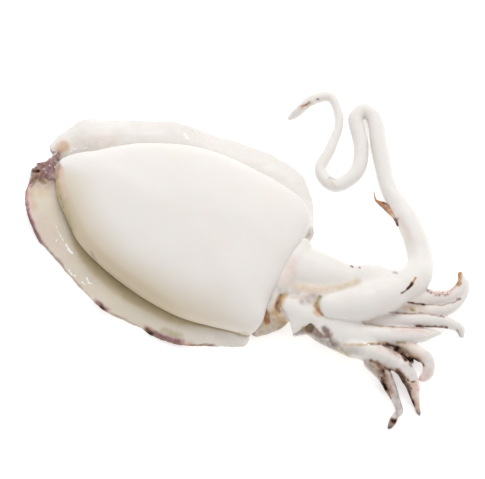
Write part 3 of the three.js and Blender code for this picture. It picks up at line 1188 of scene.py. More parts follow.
ARMS = (
    Lobe("upper curled arm", (
        (108, -37, 12, 6), (131, -33.5, 9, 5.6), (141.5, -33, 9, 5), (148.5, -29, 10, 4),
        (152, -22.5, 12, 3), (151, -18, 13, 2))),
    Lobe("lower curled arm", (
        (104.5, -42, 7, 5.2), (133, -42.5, 5.8, 5.2), (143.5, -40, 5.8, 5.0), (151, -34, 6, 4),
        (155, -27, 7, 3), (155.5, -21.5, 8, 2))),
    Lobe("hooked arm", (
        (81, -52.5, 9, 5), (108, -50.5, 7.5, 5.6), (135, -50.5, 5.5, 4.8), (144.5, -52.5, 4.5, 3.9),
        (150.5, -56, 4, 3.2), (151.5, -60.5, 3, 2.0))),
    Lobe("straight arm", (
        (68.5, -61.5, 11, 8), (82.5, -62, 11, 7.4), (111, -62, 9, 6.4), (122.5, -61.5, 8, 5.2),
        (130, -60.5, 7, 3.2), (136, -59.5, 6, 1.2))),
    Lobe("curled near arm", (
        (100.5, -64, 8, 4), (107.5, -67, 7.5, 4), (112.5, -69.5, 7, 4.2), (120.5, -75, 6.4, 5.1),
        (126, -78.5, 5.8, 4.7), (127.5, -84.5, 5.2, 4.3), (126.5, -89, 4.8, 4.1), (124, -91.5, 4.2, 3.3),
        (122, -92.5, 3.6, 2.1))),
    Lobe("long near arm", (
        (73.5, -70.5, 10, 8), (86, -74.5, 9.8, 7.4), (98, -79, 9.4, 6.8), (105, -82.5, 9, 6.4),
        (110.5, -87.5, 8.4, 6.1), (113.5, -93.5, 7.6, 5.7), (115.5, -98, 6.8, 5.1), (116.5, -103, 5.8, 4.2),
        (117.5, -108, 4.6, 3.1), (118.5, -113, 3.2, 2), (119.5, -116.5, 2.4, 1.7), (120, -118, 1.8, 0.9))),
    Lobe("web between the near arms", (
        (99, -67, 6, 2.4), (104.5, -71, 5.5, 3.1), (109.5, -75, 5, 3.4), (113.5, -78, 4, 2.6),
        (115.5, -80, 2.6, 1.5), (114.5, -82, 1.6, 0.7)), 1, 0.8),
    Lobe("twisted near arm", (
        (86.5, -82, 8, 5), (94, -88, 7.2, 5.6), (98.5, -96, 6.2, 4.6), (101, -102, 5.6, 4.2),
        (103.5, -108, 5, 3.2), (105.5, -113.5, 4.4, 2.8), (106, -116.5, 4, 2.6), (103.5, -119, 3.6, 2.3),
        (101.5, -122, 3.4, 2.8), (100, -125.5, 2.8, 2.3), (98.5, -127.5, 1.8, 1))),
)

CUTS = (
    Lobe("slit", (
        (107.5, -37.5, 28.6, 0.3), (110.5, -35.5, 28, 0.6), (113, -33, 27.6, 1), (115, -31, 27.3, 1),
        (116.5, -28, 27, 0.6), (117.5, -25.5, 26.8, 0.3)), 0.5),
    Lobe("crevice", (
        (53.5, -35.5, 21, 0.8), (50, -38.5, 21, 1.4), (48.7, -42.5, 20.5, 1.6), (50, -47, 20, 1.5),
        (53.5, -50.5, 19.8, 0.8)), 1.2),
    Lobe("crater", (
        (23.5, -35.5, 17.5, 0.7), (21.5, -39.5, 17, 1.3), (21, -43.5, 15.5, 1.4),
        (21.5, -46.5, 13.5, 0.8)), 2.4),
    Lobe("gap under the lip", ((11.5, -44, 14, 1.5), (12.5, -48, 12.5, 2.6), (13.5, -52, 10, 2.2)), 1.2),
    Lobe("fold of the neck", (
        (33, -28.5, 21, 0.8), (44, -31, 21.5, 1.0), (58, -31.5, 22.5, 1.1), (69, -29.5, 22.5, 0.9),
        (78, -26, 23, 0.5)), 2.5),
    Lobe("hollow under the flap", (
        (35, -65, 13.5, 2.2), (39.5, -62, 13.8, 3), (43, -59.5, 14, 3), (46, -57, 14.5, 1.7)), 0.8),
    Lobe("fold beside the funnel", (
        (44.5, -56.5, 17.8, 0.9), (48, -60.5, 16.8, 1.3), (51, -63, 15.6, 1.3), (54.5, -66, 15.4, 1),
        (58.5, -68, 14.6, 0.5)), 1),
    Lobe("groove of the twisted arm", (
        (90, -82, 10, 0.7), (92.5, -88.5, 9.5, 1.3), (95.5, -95.5, 8.5, 1.2), (98, -102.5, 7.5, 0.8),
        (100, -108, 6.5, 0.4)), 1.5),
)

HEAD_STAINS_AND_SHADE = stains_and_shade_of({
    Tint.TAN: (
        # Painted shade along the crease under the neck.
        (0.34, 2.8, ((296, 287), (310, 289), (330, 289))),
        (0.3, 2.4, ((332, 288), (345, 286), (357, 282))),
        # Painted shade round the left end of the tentacle's root.
        (0.4, 2.2, ((314.5, 301), (315.5, 308), (318.5, 313)), 0.9),
        (0.2, 0.8, ((322, 315.5), (327, 318), (333, 320))),
        (0.8, 2.6, ((283, 296), (279, 301), (277, 306), (278, 312))),
        # Painted shade on the collar's surface beside the funnel.
        (0.7, 3.3, ((273, 314), (276, 318), (280, 321), (283, 323))),
        (0.5, 2, ((279, 313), (282, 318), (285, 322))),
        (0.3, 4, ((276, 324), (262, 331), (252, 335))),
        (0.75, 2, ((459.3, 273), (459, 278), (457.5, 283)), 0.6),
        (0.26, 2.2, ((406, 309), (411, 308), (417, 308))),
        (0.22, 1.2, ((364, 322.5), (378, 325.5), (392, 327))),
        (0.62, 0.9, ((345, 345), (365, 344.5), (386, 343)), 0.9),
        (0.3, 2.4, ((404, 348), (410, 351), (417, 356))),
        (0.42, 1.3, ((382, 365.5), (390, 369.3), (398, 370)), 0.8),
        (0.34, 2.2, ((406, 381), (409, 386), (412, 391)), 0.9),
        (0.4, 2.6, ((413, 394), (416, 402), (417.5, 408))),
        (0.26, 0.7, ((331, 181), (336, 188))),
        (0.3, 2.2, ((405, 344), (412, 345))),
        (0.6, 2.2, ((280, 328), (285, 325.5))),
        (0.2, 2.4, ((417, 309), (424, 309))),
    ),
    Tint.OLIVE: (
        # Painted shade round the left end of the tentacle's root.
        (0.72, 1.2, ((319.5, 297), (317, 301), (316.5, 306), (318, 310)), 0.9),
        (0.22, 2, ((256, 336), (270, 333), (284, 327))),
        # Painted shade in the hollow under the funnel's flap.
        (0.9, 2.3, ((304.5, 329.5), (308, 328.5), (311, 328)), 0.8),
        # Painted shade on the head's underside below the funnel.
        (0.25, 2.2, ((305, 334), (320, 342), (335, 349))),
        (0.8, 1, ((411, 309), (414, 310))),
        (0.6, 0.8, ((397, 342), (401, 342), (405, 343)), 0.7),
        (0.4, 0.8, ((416, 411), (418, 413))),
        # Painted shade under the long near arm.
        (0.2, 3, ((366, 362), (371, 367), (377, 376))),
        (0.35, 1.8, ((261.5, 321), (263, 326))),
        # Painted shade along the crease under the neck.
        (0.12, 3, ((340, 285), (350, 284), (357, 282))),
        (0.3, 2.4, ((260, 325), (266, 325), (276, 323))),
        # Painted shade where the head's underside meets the arms.
        (0.38, 3.6, ((336, 347), (342, 351), (347, 356))),
        # Painted shade under the long near arm.
        (0.45, 2.6, ((370, 363.5), (375, 367), (376, 371))),
    ),
    Tint.ROSE: (
        # Painted shade in the pocket where the neck runs under the mantle's lip.
        (0.28, 3.8, ((292, 261), (290, 272), (285, 280))),
        # Painted shade along the crease under the neck.
        (0.2, 2.2, ((296, 288), (310, 290), (330, 291))),
        (0.3, 0.9, ((292, 298), (303, 297), (312, 296))),
        (0.5, 1.1, ((428, 291), (436, 293.5), (446, 294), (452, 290), (456, 285))),
        (0.1, 5, ((415, 298), (435, 300), (455, 296))),
        (0.1, 3.4, ((407, 310), (430, 311), (450, 306), (462, 297))),
        (0.08, 3.4, ((368, 321), (385, 319.5), (402, 319))),
        (0.38, 0.8, ((402, 331), (412, 330.3), (424, 331.5)), 0.8),
        (0.2, 2.4, ((395, 330), (412, 331), (430, 332))),
        (0.22, 3.4, ((400, 345), (410, 349), (420, 355))),
        (0.34, 3, ((426, 371), (425, 376), (421, 379))),
        (0.3, 2.6, ((380, 347), (388, 349.5), (396, 353))),
        (0.5, 2.6, ((415, 384.5), (416.5, 389)), 0.8),
        (0.42, 2.6, ((413, 394), (416, 402), (417.5, 408))),
        (0.2, 2.4, ((388, 374), (390, 380), (391, 386))),
        (0.2, 1.8, ((398.5, 218), (402, 223), (407, 230), (410.5, 239))),
        (0.3, 2.2, ((415, 402), (417, 409))),
    ),
    Tint.SLATE: (
        # Painted mauve shade on the membrane between the mantle's lip and the tentacle's root.
        (0.2, 2.6, ((280, 290), (288, 293), (296, 294))),
        (0.38, 2.6, ((303, 300), (309, 301), (313, 298))),
        (0.2, 3, ((258, 331), (268, 331), (276, 328))),
        (0.66, 1.9, ((312, 331), (316, 335), (319, 337))),
        # Painted shade on the head's underside below the funnel.
        (0.5, 2, ((316, 340), (322, 342), (330, 346))),
        (0.55, 1.8, ((324, 328), (327, 330))),
        (0.85, 2.2, ((326, 331), (328, 335))),
        (0.6, 1.4, ((329, 336), (331, 340), (334, 345))),
        # Painted shade in the dark corner under the funnel's flap.
        (0.34, 1.7, ((297, 333), (301, 332)), 0.9),
        (0.8, 0.7, ((351, 266), (352, 266.5)), 0.8),
        (0.7, 0.6, ((359, 267.5), (359.6, 268)), 0.8),
        (0.5, 0.8, ((394, 272.5), (397, 273))),
        (0.7, 0.7, ((427.5, 290.5), (428.2, 290.8)), 0.6),
        (0.7, 0.7, ((430.5, 292.5), (431, 292.7)), 0.6),
        (0.8, 0.7, ((457.5, 299.3), (460, 299)), 0.6),
        (0.6, 0.6, ((441, 315.5), (444, 316.5)), 0.6),
        (0.07, 4.2, ((400, 322), (430, 323), (452, 326))),
        (0.45, 0.8, ((456.5, 330), (459.5, 336.5)), 0.9),
        (0.1, 1.6, ((460, 330), (461, 336))),
        (0.12, 3.2, ((428, 357), (432, 365), (431, 372))),
        (0.55, 2, ((410.5, 361.5), (411, 364)), 0.6),
        (0.1, 4, ((372, 355), (390, 363), (405, 373))),
        (0.16, 2.6, ((406, 366), (411, 372), (414, 378))),
        (0.6, 1.6, ((417, 411), (419, 415)), 0.8),
        # Painted shade under the long near arm.
        (0.3, 3, ((366, 363), (371, 369), (378, 378))),
        (0.36, 4, ((392, 374), (396, 385), (399, 405), (396, 414))),
        (0.8, 2, ((392, 424), (389.5, 428)), 0.8),
        (0.7, 0.7, ((317.5, 99.5), (318, 99.6)), 0.8),
        (0.1, 2.4, ((298, 110), (294, 113))),
        (0.22, 1, ((329, 178), (334, 179))),
        # Painted shade between the straight arm and the long near arm.
        (0.2, 3, ((343, 350), (352, 350), (360, 352))),
        # Painted shade where the head's underside meets the arms.
        (0.62, 2.3, ((331, 341), (336, 346))),
        # Painted shadow under the edge of the collar.
        (0.5, 1.4, ((250, 335), (254, 334))),
    ),
    Tint.UMBER: (
        (0.5, 0.9, ((279, 300), (277, 304), (276.5, 307), (279, 311)), 0.9),
        # Painted shade in the hollow under the funnel's flap.
        (0.26, 2, ((305, 331.5), (309, 331), (312, 331)), 0.9),
        (0.74, 0.7, ((299, 331), (304, 328.3), (311, 324)), 0.85),
        (0.46, 1.1, ((312, 325), (316, 330), (320, 334.5), (325, 337.5)), 0.9),
        (0.31, 1.3, ((325, 330), (328, 334), (330, 336.5))),
        (1, 0.5, ((401.5, 293), (406, 290.2), (409, 288)), 0.6),
        (1.25, 0.85, ((408, 288.5), (410.5, 286), (412.5, 283)), 0.7),
        (0.46, 0.6, ((435.5, 295), (436.2, 295.2)), 0.85),
        (0.46, 0.6, ((439, 295.5), (439.5, 295.6)), 0.85),
        (0.46, 0.6, ((444.5, 295.3), (446, 295.3)), 0.85),
        (0.51, 0.6, ((459.5, 271.5), (460.5, 273)), 0.85),
        (0.41, 0.6, ((456, 284), (461, 283)), 0.85),
        (0.8, 0.65, ((408, 302.5), (416, 303.7), (425, 304.5)), 0.8),
        (0.42, 0.5, ((424, 304.5), (440, 305.2), (452, 303), (459, 299.5)), 0.85),
        (0.46, 0.7, ((390, 312.5), (398, 313), (412, 313.5), (430, 313.5), (441, 316)), 0.85),
        (0.37, 0.6, ((363, 323), (380, 325.8), (400, 327.2), (420, 328), (447, 327.5)), 0.85),
        (0.75, 1, ((417, 326.6), (430, 327), (446, 327.4)), 0.8),
        (1, 1, ((387, 344), (392, 345.8), (396, 347.5)), 0.9),
        (1.15, 2, ((396, 348.5), (400, 351.5), (403, 355), (406, 358.5)), 0.9),
        (1.24, 1.5, ((407, 358.5), (412, 359.5), (417, 360.5)), 0.85),
        (0.5, 0.8, ((414, 360), (420, 361), (423.3, 365.5)), 0.6),
        (0.6, 0.5, ((409, 360), (414, 362)), 0.6),
        (0.31, 2, ((386, 347), (392, 351), (399, 355.5))),
        (0.55, 0.8, ((388, 369), (392, 370.3)), 0.85),
        (0.97, 2, ((397.5, 372), (402, 378), (405.5, 384.5), (408.5, 391)), 0.9),
        (0.97, 1.2, ((407.8, 390), (411.3, 398.5), (414.3, 405.5)), 0.85),
        (0.85, 0.7, ((407.5, 380), (409, 380.7)), 0.8),
        (0.9, 0.7, ((412, 381.8), (413.8, 381.6)), 0.8),
        (0.85, 0.6, ((410.3, 388), (412, 388.8)), 0.6),
        # Painted shade under the long near arm, over the twisted arm's brown skin.
        (0.83, 1.6, ((377, 363.5), (381, 367), (383.5, 371), (385, 376)), 0.9),
        (0.78, 0.9, ((376, 362.5), (383, 366.5), (390, 370.3)), 0.85),
        (0.64, 2.5, ((381, 370), (383.5, 376), (386.5, 384), (389, 391)), 0.9),
        (1.29, 1.6, ((382, 382), (384.5, 385.5), (386, 389)), 0.9),
        (0.64, 0.7, ((386, 390), (388.5, 394), (391, 398)), 0.85),
        (0.69, 0.6, ((391, 371.5), (392, 376)), 0.85),
        (1.24, 1.7, ((392.5, 421), (395.5, 421.3)), 0.85),
        (0.55, 0.6, ((390.5, 417.5), (390, 421)), 0.85),
        (0.55, 0.8, ((396.5, 221), (398, 218.5)), 0.85),
        (0.64, 0.6, ((301.5, 106.5), (305, 105.7), (309.5, 103)), 0.85),
        (0.24, 2, ((406, 380), (409, 386), (412, 393))),
        (0.26, 2.4, ((415, 402), (417, 409))),
        (0.12, 2.6, ((272, 320), (278, 322))),
        (0.5, 0.7, ((370, 344.5), (379, 344))),
        (0.3, 2, ((386, 347), (390, 349))),
        # Painted shade under the long near arm.
        (0.7, 1, ((371, 360.5), (377, 363.5)), 0.8),
        (0.2, 2, ((373, 363), (378, 369))),
        (0.25, 1.8, ((280, 328), (285, 325.5))),
        (1.2, 1.5, ((403, 355), (406, 358), (409, 360.5)), 0.9),
    ),
    Tint.RUST: (
        (0.36, 1.7, ((315.5, 308), (317, 312.5), (320, 315)), 0.9),
        (0.4, 1.8, ((281, 299), (278, 303), (276, 307))),
        (0.6, 2, ((264.5, 313), (265, 318), (266.5, 322)), 0.6),
        (0.85, 0.6, ((412, 284.5), (414, 280.5), (415, 277.8)), 0.6),
        (0.7, 0.4, ((415, 278), (416.5, 278.3)), 0.6),
        (0.46, 1.9, ((459.3, 273), (459, 278), (457.5, 283)), 0.6),
        (0.16, 1.8, ((405, 307), (411, 307))),
        (0.4, 1.3, ((407, 353), (413, 357.5), (420, 359.5)), 0.8),
        (0.16, 2, ((406, 381), (409, 386), (412, 391)), 0.9),
        (0.3, 2.4, ((381, 369), (383.5, 376), (386.5, 385), (389.5, 393)), 0.8),
        (0.34, 1.5, ((301, 107), (306, 105), (310, 103)), 0.9),
    ),
})


def run_in(first: Array, second: Array, blend: float) -> Array:
    """How far two forms run into each other where their distances are nearly alike."""
    overlap = np.maximum(blend - np.abs(first - second), 0.0) / blend
    return overlap ** 2 * blend / 4.0


class FleshField:
    """A field of distances to soft flesh on a regular grid, in millimetres."""

    FAR = 20.0
    MARGIN = 7.0
    REST_ROUNDS = 6
    EASE_ROUNDS = 4
    LEAST_STEEP = 0.2

    def __init__(self, low: Point, high: Point, step: float) -> None:
        """Make an empty field.

        Args:
            low: the lowest corner of the space it covers.
            high: the highest corner.
            step: the grid's spacing.
        """
        self.low = np.array(low, float)
        self.step = step
        self.shape = tuple(np.ceil((np.array(high) - self.low) / step).astype(int) + 1)
        self.values = np.full(self.shape, self.FAR, np.float32)

    def _block(self, low: Array, high: Array) -> tuple[slice, ...]:
        """The grid slices that cover the space between two corners."""
        first = np.maximum(np.floor((low - self.low) / self.step).astype(int), 0)
        last = np.minimum(np.ceil((high - self.low) / self.step).astype(int) + 1, self.shape)
        return tuple(slice(start, max(stop, start)) for start, stop in zip(first, last))

    def _axes(self, block: tuple[slice, ...]) -> list[Array]:
        """The coordinates along each axis of a block, shaped to spread over it."""
        axes = []
        for axis, part in enumerate(block):
            shape = [1, 1, 1]
            shape[axis] = -1
            line = self.low[axis] + self.step * np.arange(part.start, part.stop)
            axes.append(line.reshape(shape).astype(np.float32))
        return axes

    def distance(self, lobe: Lobe, spacing: float = 2.0) -> tuple[tuple[slice, ...], Array]:
        """The distance to a lobe over the block of the grid that it reaches.

        Args:
            lobe: the lobe.
            spacing: the length of the straight pieces its route is cut into.

        Returns:
            The block, and the distance at each of its points.
        """
        controls = np.array(lobe.route, float)
        length = np.linalg.norm(np.diff(controls[:, :3], axis=0), axis=1).sum()
        points = spline(controls, np.linspace(0.0, 1.0, max(int(length / spacing), 6)))
        widest = points[:, 3].max() + self.MARGIN
        block = self._block(points[:, :3].min(0) - widest, points[:, :3].max(0) + widest)
        found = np.full([part.stop - part.start for part in block], self.FAR, np.float32)
        for start, end in zip(points, points[1:]):
            wide = max(start[3], end[3]) + self.MARGIN
            part = self._block(np.minimum(start, end)[:3] - wide, np.maximum(start, end)[:3] + wide)
            inner = tuple(slice(p.start - b.start, p.stop - b.start) for p, b in zip(part, block))
            axes = self._axes(part)
            along = end[:3] - start[:3]
            along[2] /= lobe.high
            away = [axes[0] - start[0], axes[1] - start[1], (axes[2] - start[2]) / lobe.high]
            share = sum(a * b for a, b in zip(away, along)) / max(float(along @ along), TINY)
            share = np.clip(share, 0.0, 1.0)
            gap = np.sqrt(sum((a - share * b) ** 2 for a, b in zip(away, along)))
            found[inner] = np.minimum(found[inner], gap - mix(start[3], end[3], share))
        return block, found

    def unite(self, lobe: Lobe) -> None:
        """Join a lobe to the field, running into it as far as the lobe's blend says."""
        block, found = self.distance(lobe)
        here = self.values[block]
        self.values[block] = np.minimum(here, found) - run_in(here, found, lobe.blend)

    def carve(self, lobe: Lobe) -> None:
        """Cut a lobe out of the field, with its rim softened by the lobe's blend."""
        block, found = self.distance(lobe, 1.0)
        here, cut = self.values[block], -found
        self.values[block] = np.maximum(here, cut) + run_in(here, cut, lobe.blend)

    def lay_flat(self, height: float, blend: float) -> None:
        """Flatten the flesh where it lies on the table."""
        table = height - self._axes(tuple(slice(0, size) for size in self.shape))[2]
        self.values = np.maximum(self.values, table) + run_in(self.values, table, blend)

    def sample(self, places: Array) -> Array:
        """The distance at any places, between the grid's points."""
        scaled = (places - self.low) / self.step
        base = np.clip(np.floor(scaled).astype(int), 0, np.array(self.shape) - 2)
        total = np.zeros(len(places))
        for corner, weight in corner_weights(scaled - base):
            total += weight * self.values[tuple((base + corner).T)]
        return total

    def slope(self, places: Array) -> Array:
        """The field's slope at any places, which points out of the flesh."""
        return np.column_stack([
            (self.sample(places + step) - self.sample(places - step)) / (2 * self.step)
            for step in np.eye(3) * self.step])

    def facing(self, places: Array) -> Array:
        """The way out of the flesh at any places, one unit long."""
        return unit(self.slope(places))

    def rested(self, places: Array) -> Array:
        """Places near the flesh, moved on to its surface."""
        for _ in range(self.REST_ROUNDS):
            places = places - self.facing(places) * self.sample(places)[:, None]
        return places

    def surface(self) -> tuple[Array, Faces]:
        """The flesh's surface as a closed net of quads.

        Returns:
            The vertices, one row each, and the four vertices of each face.
        """
        inside = self.values < 0.0
        cells = np.zeros([size - 1 for size in self.shape], np.int8)
        for corner in np.ndindex(2, 2, 2):
            cells += inside[tuple(slice(c, c + size) for c, size in zip(corner, cells.shape))]
        active = (cells > 0) & (cells < 8)
        places = np.argwhere(active)
        numbers = np.full(cells.shape, -1, np.int64)
        numbers[active] = np.arange(len(places))
        vertices = self.low + (places + self._crossings(places)) * self.step
        quads = self._quads(inside, numbers)
        return self._settled(vertices, quads), quads.tolist()

    def _crossings(self, places: Array) -> Array:
        """Where the surface crosses each cell, as the middle of its edges' crossings."""
        total = np.zeros((len(places), 3))
        hits = np.zeros(len(places))
        for axis in range(3):
            step = np.eye(3, dtype=int)[axis]
            for corner in np.ndindex(2, 2, 2):
                if corner[axis]:
                    continue
                start = self.values[tuple((places + corner).T)]
                end = self.values[tuple((places + corner + step).T)]
                crossed = (start < 0) != (end < 0)
                share = np.where(crossed, start / np.where(crossed, start - end, 1.0), 0.0)
                total += crossed[:, None] * (np.array(corner) + share[:, None] * step)
                hits += crossed
        return total / hits[:, None]

    @staticmethod
    def _quads(inside: Array, numbers: Array) -> Array:
        """The four cells round every grid edge that the surface crosses, in outward order."""
        quads = []
        for axis in range(3):
            second, third = np.eye(3, dtype=int)[[(axis + 1) % 3, (axis + 2) % 3]]
            here = [slice(None)] * 3
            there = [slice(None)] * 3
            here[axis], there[axis] = slice(0, -1), slice(1, None)
            start, end = inside[tuple(here)], inside[tuple(there)]
            edges = np.argwhere(start != end)
            leaving = start[tuple(edges.T)]
            ring = [edges, edges - second, edges - second - third, edges - third]
            four = np.column_stack([numbers[tuple(cell.T)] for cell in ring])
            four[~leaving] = four[~leaving][:, ::-1]
            quads.append(four)
        return np.vstack(quads)

    def _settled(self, vertices: Array, quads: Array) -> Array:
        """The net's vertices, eased even and laid back on the surface."""
        starts, ends = quads.reshape(-1), np.roll(quads, -1, axis=1).reshape(-1)
        count = np.bincount(starts, minlength=len(vertices))[:, None]
        for _ in range(self.EASE_ROUNDS):
            pulled = np.column_stack([
                np.bincount(starts, vertices[ends, axis], len(vertices)) for axis in range(3)])
            vertices = mix(vertices, pulled / count, 0.5)
            slope = self.slope(vertices)
            steep = np.maximum((slope ** 2).sum(1), self.LEAST_STEEP)
            vertices = vertices - slope * (self.sample(vertices) / steep)[:, None]
        return vertices


@dataclass
class SoftForm:
    """A piece of flesh whose lobes run into each other, with the low relief of its skin.

    It is flattened at its seat, and the relief sets in above that.
    """

    name: str
    lobes: tuple[Lobe, ...]
    stains: tuple[StainOrShade, ...]
    low: Point
    high: Point
    step: float
    seat: float
    seat_blend: float
    relief: tuple[Relief, ...]
    relief_from: float
    wetness: float
    cuts: tuple[Lobe, ...] = ()
    relief_rise: float = 2.0
    field: FleshField | None = None

    def build(self, flesh: Material) -> Object:
        """Build the form as one closed mesh.

        Args:
            flesh: the flesh material.

        Returns:
            The piece.
        """
        self.field = FleshField(self.low, self.high, self.step)
        for lobe in self.lobes:
            self.field.unite(lobe)
        for cut in self.cuts:
            self.field.carve(cut)
        self.field.lay_flat(self.seat, self.seat_blend)
        vertices, quads = self.field.surface()
        above_table = smooth((vertices[:, 2] - self.relief_from) / self.relief_rise)
        lift = summed(self.relief, vertices) * above_table
        vertices = vertices + self.field.facing(vertices) * lift[:, None]
        tints = stained_and_shaded(vertices, quads, self.stains)
        piece = flesh_piece(self.name, vertices, quads, flesh, tints, self.wetness)
        claim(piece, replaces_solid=False)
        return piece


@dataclass
class HeadAndArms(SoftForm):
    """The neck, head, funnel, arms and tentacle, which run into each other as one soft form."""

    name: str = "head_arms_tentacle"
    lobes: tuple[Lobe, ...] = (*HEAD_LOBES, TENTACLE, *ARMS)
    stains: tuple[StainOrShade, ...] = HEAD_STAINS_AND_SHADE
    low: Point = (-4.0, -134.0, -2.0)
    high: Point = (162.0, 132.0, 36.0)
    step: float = 0.8
    seat: float = 0.1
    seat_blend: float = 1.5
    relief: tuple[Relief, ...] = (Relief(11, 9.0, 0.28), Relief(12, 3.5, 0.12))
    relief_from: float = 0.5
    wetness: float = 0.55
    cuts: tuple[Lobe, ...] = CUTS


@dataclass
class TailTissue(SoftForm):
    """The lumpy tissue and strands of torn skin left where the two fins meet at the tail."""

    name: str = "tail_tissue"
    lobes: tuple[Lobe, ...] = (
        Lobe("strip along the notch", (
            (-137.5, 74.5, 11.5, 2), (-138.5, 72, 11, 3), (-141.5, 69, 9.5, 3.6), (-146, 67, 8, 3.4),
            (-150.5, 65.5, 6.5, 3.0), (-154, 64, 5, 2.4)), 1.0),
        Lobe("mass beside the mantle", (
            (-138, 65.5, 9, 4.2), (-141.5, 63.5, 8, 4.6), (-146, 62, 6.5, 4.2),
            (-149.5, 61.5, 5, 3.4)), 1.2),
        Lobe("lower lumps", ((-138, 60, 7, 3.4), (-142.5, 59.2, 5.5, 3.4), (-147.5, 59, 4.5, 2.8)), 0.8),
        Lobe("inner strand", (
            (-146, 68, 11, 0.9), (-149.5, 65, 9, 1.2), (-152.5, 61, 7, 1.2), (-155, 56, 5.5, 1.1),
            (-156.5, 52.5, 4.8, 0.8)), 0.8),
        Lobe("outer strand", (
            (-152, 68, 7.5, 1.3), (-154.5, 64, 6.4, 1.4), (-156.5, 59, 5.2, 1.2),
            (-157.8, 55.5, 4.6, 0.8)), 0.8),
    )
    stains: tuple[StainOrShade, ...] = stains_and_shade_of({
        Tint.OLIVE: (
            (0.6, 1.2, ((41, 176), (43, 180)), 0.8),
        ),
        Tint.ROSE: (
            (0.5, 2, ((50, 161.5), (44, 165), (38, 168))),
            (0.7, 1.8, ((35, 174), (31, 183), (27, 193))),
        ),
        Tint.SLATE: (
            (0.5, 9, ((56, 168), (40, 172))),
            (0.9, 2, ((59, 154), (57, 158)), 0.8),
        ),
        Tint.PLUM: (
            (0.62, 5.4, ((47, 166), (46, 174), (43, 172))),
            (0.5, 1.5, ((47, 161.5), (43, 163), (37, 167))),
            (0.3, 2.6, ((42, 176), (47, 180), (54, 181))),
        ),
        Tint.UMBER: (
            (0.52, 0.8, ((45, 165), (40, 169.5), (36, 175), (33, 181)), 0.9),
            (0.57, 1.4, ((54, 157.5), (53, 162), (53.5, 167))),
            (0.37, 1.2, ((44, 166.5), (42, 168)), 0.85),
            (0.32, 1.4, ((59, 154), (57, 157)), 0.85),
            (0.92, 0.8, ((37.2, 163.8), (38.5, 163.5)), 0.85),
            (1.29, 1.3, ((33.5, 171.5), (36, 171.3), (38, 171)), 0.85),
            (0.31, 1.6, ((46, 173), (50, 177)), 0.85),
        ),
        Tint.RUST: (
            (0.45, 1.4, ((38, 174), (34, 181)), 0.8),
        ),
    })
    low: Point = (-164.0, 38.0, -1.0)
    high: Point = (-128.0, 80.0, 19.0)
    step: float = 0.45
    seat: float = 0.6
    seat_blend: float = 1.0
    relief: tuple[Relief, ...] = (Relief(41, 3.4, 1.5), Relief(42, 1.5, 0.6))
    relief_from: float = 1.0
    wetness: float = 1.0


@dataclass(frozen=True)
class TornShred:
    """A shred of orange-brown skin torn loose beside the tentacle, thin and half twisted."""

    route: tuple[Point, ...] = (
        (107.5, 19, 11, 0.5), (106.5, 24, 10.5, 1.3), (104.5, 28.5, 9.5, 1.9), (102, 33, 8.5, 2.9),
        (98.5, 36.5, 7.5, 2.5), (95, 39, 6.5, 1.6), (93, 41, 6, 1.0), (92, 44, 6, 0.8),
        (91.5, 47.5, 6.5, 0.35))
    thickness: float = 0.45
    curl: float = 0.35
    twist: float = math.radians(70)
    wetness: float = 0.8
    along: int = 80
    around: int = 16
    stains: tuple[StainOrShade, ...] = stains_and_shade_of({
        Tint.TAN: (
            (0.7, 2.0, ((107, 26, 11), (104.5, 32, 9))),
        ),
        Tint.OLIVE: (
            (0.6, 1.0, ((92.5, 42, 6), (91.5, 46, 6))),
        ),
        Tint.UMBER: (
            (0.95, 1.3, ((107, 20, 11), (106, 25, 10.5))),
            (0.75, 0.9, ((98, 38.5, 8), (102.5, 35.5, 9))),
            (0.5, 0.7, ((104, 26, 9), (99, 33.5, 7), (94.5, 37.5, 6))),
        ),
        Tint.RUST: (
            (0.66, 5.0, ((101.5, 33, 8.5), (94, 41, 6))),
        ),
    })

    def build(self, flesh: Material) -> Object:
        """Build the shred as one closed mesh.

        Args:
            flesh: the flesh material.

        Returns:
            The piece.
        """
        shares = np.linspace(0.0, 1.0, self.along)
        points = spline(np.array(self.route, float), shares)
        ahead = unit(np.gradient(points[:, :3], axis=0))
        side = unit(np.cross(ahead, (0.0, 0.0, 1.0)))
        top = np.cross(side, ahead)
        turn = (shares * self.twist)[:, None]
        wide = side * np.cos(turn) + top * np.sin(turn)
        thin = np.cross(wide, ahead)
        rings = []
        for angle in np.arange(self.around) / self.around * 2 * math.pi:
            half = points[:, 3:4] * math.cos(angle)
            thick = np.minimum(self.thickness, points[:, 3:4]) * math.sin(angle)
            curl = self.curl * (half / points[:, 3:4]) ** 2
            rings.append(points[:, :3] + wide * half + thin * (thick + curl))
        grid = np.array(rings).transpose(1, 0, 2)
        vertices = np.vstack([grid.reshape(-1, 3), points[0, :3], points[-1, :3]])
        faces = closed_rings(self.along, self.around)
        tints = stained_and_shaded(vertices, faces, self.stains)
        piece = flesh_piece("torn_skin_shred", vertices, faces, flesh, tints, self.wetness)
        claim(piece, replaces_solid=False)
        return piece


# ---- Suckers, and beads of water painted as glints ----------------------------------------


class Ground(Protocol):
    """Flesh that small things can rest on."""

    def rested(self, places: Array) -> Array:
        """Places near the flesh, moved on to its surface."""

    def facing(self, places: Array) -> Array:
        """The way out of the flesh at any places, one unit long."""


# How much smaller and larger than its own girth a sucker or a bead may come out.
SIZE_SPREAD = (0.8, 1.2)


@dataclass(frozen=True)
class Row:
    """Small things in a row on the flesh: how many, how big and how far they stray."""

    path: tuple[Point, ...]
    count: int
    radius: float
    stray: float = 0.4
    sizes: tuple[float, float] = (0.6, 1.15)


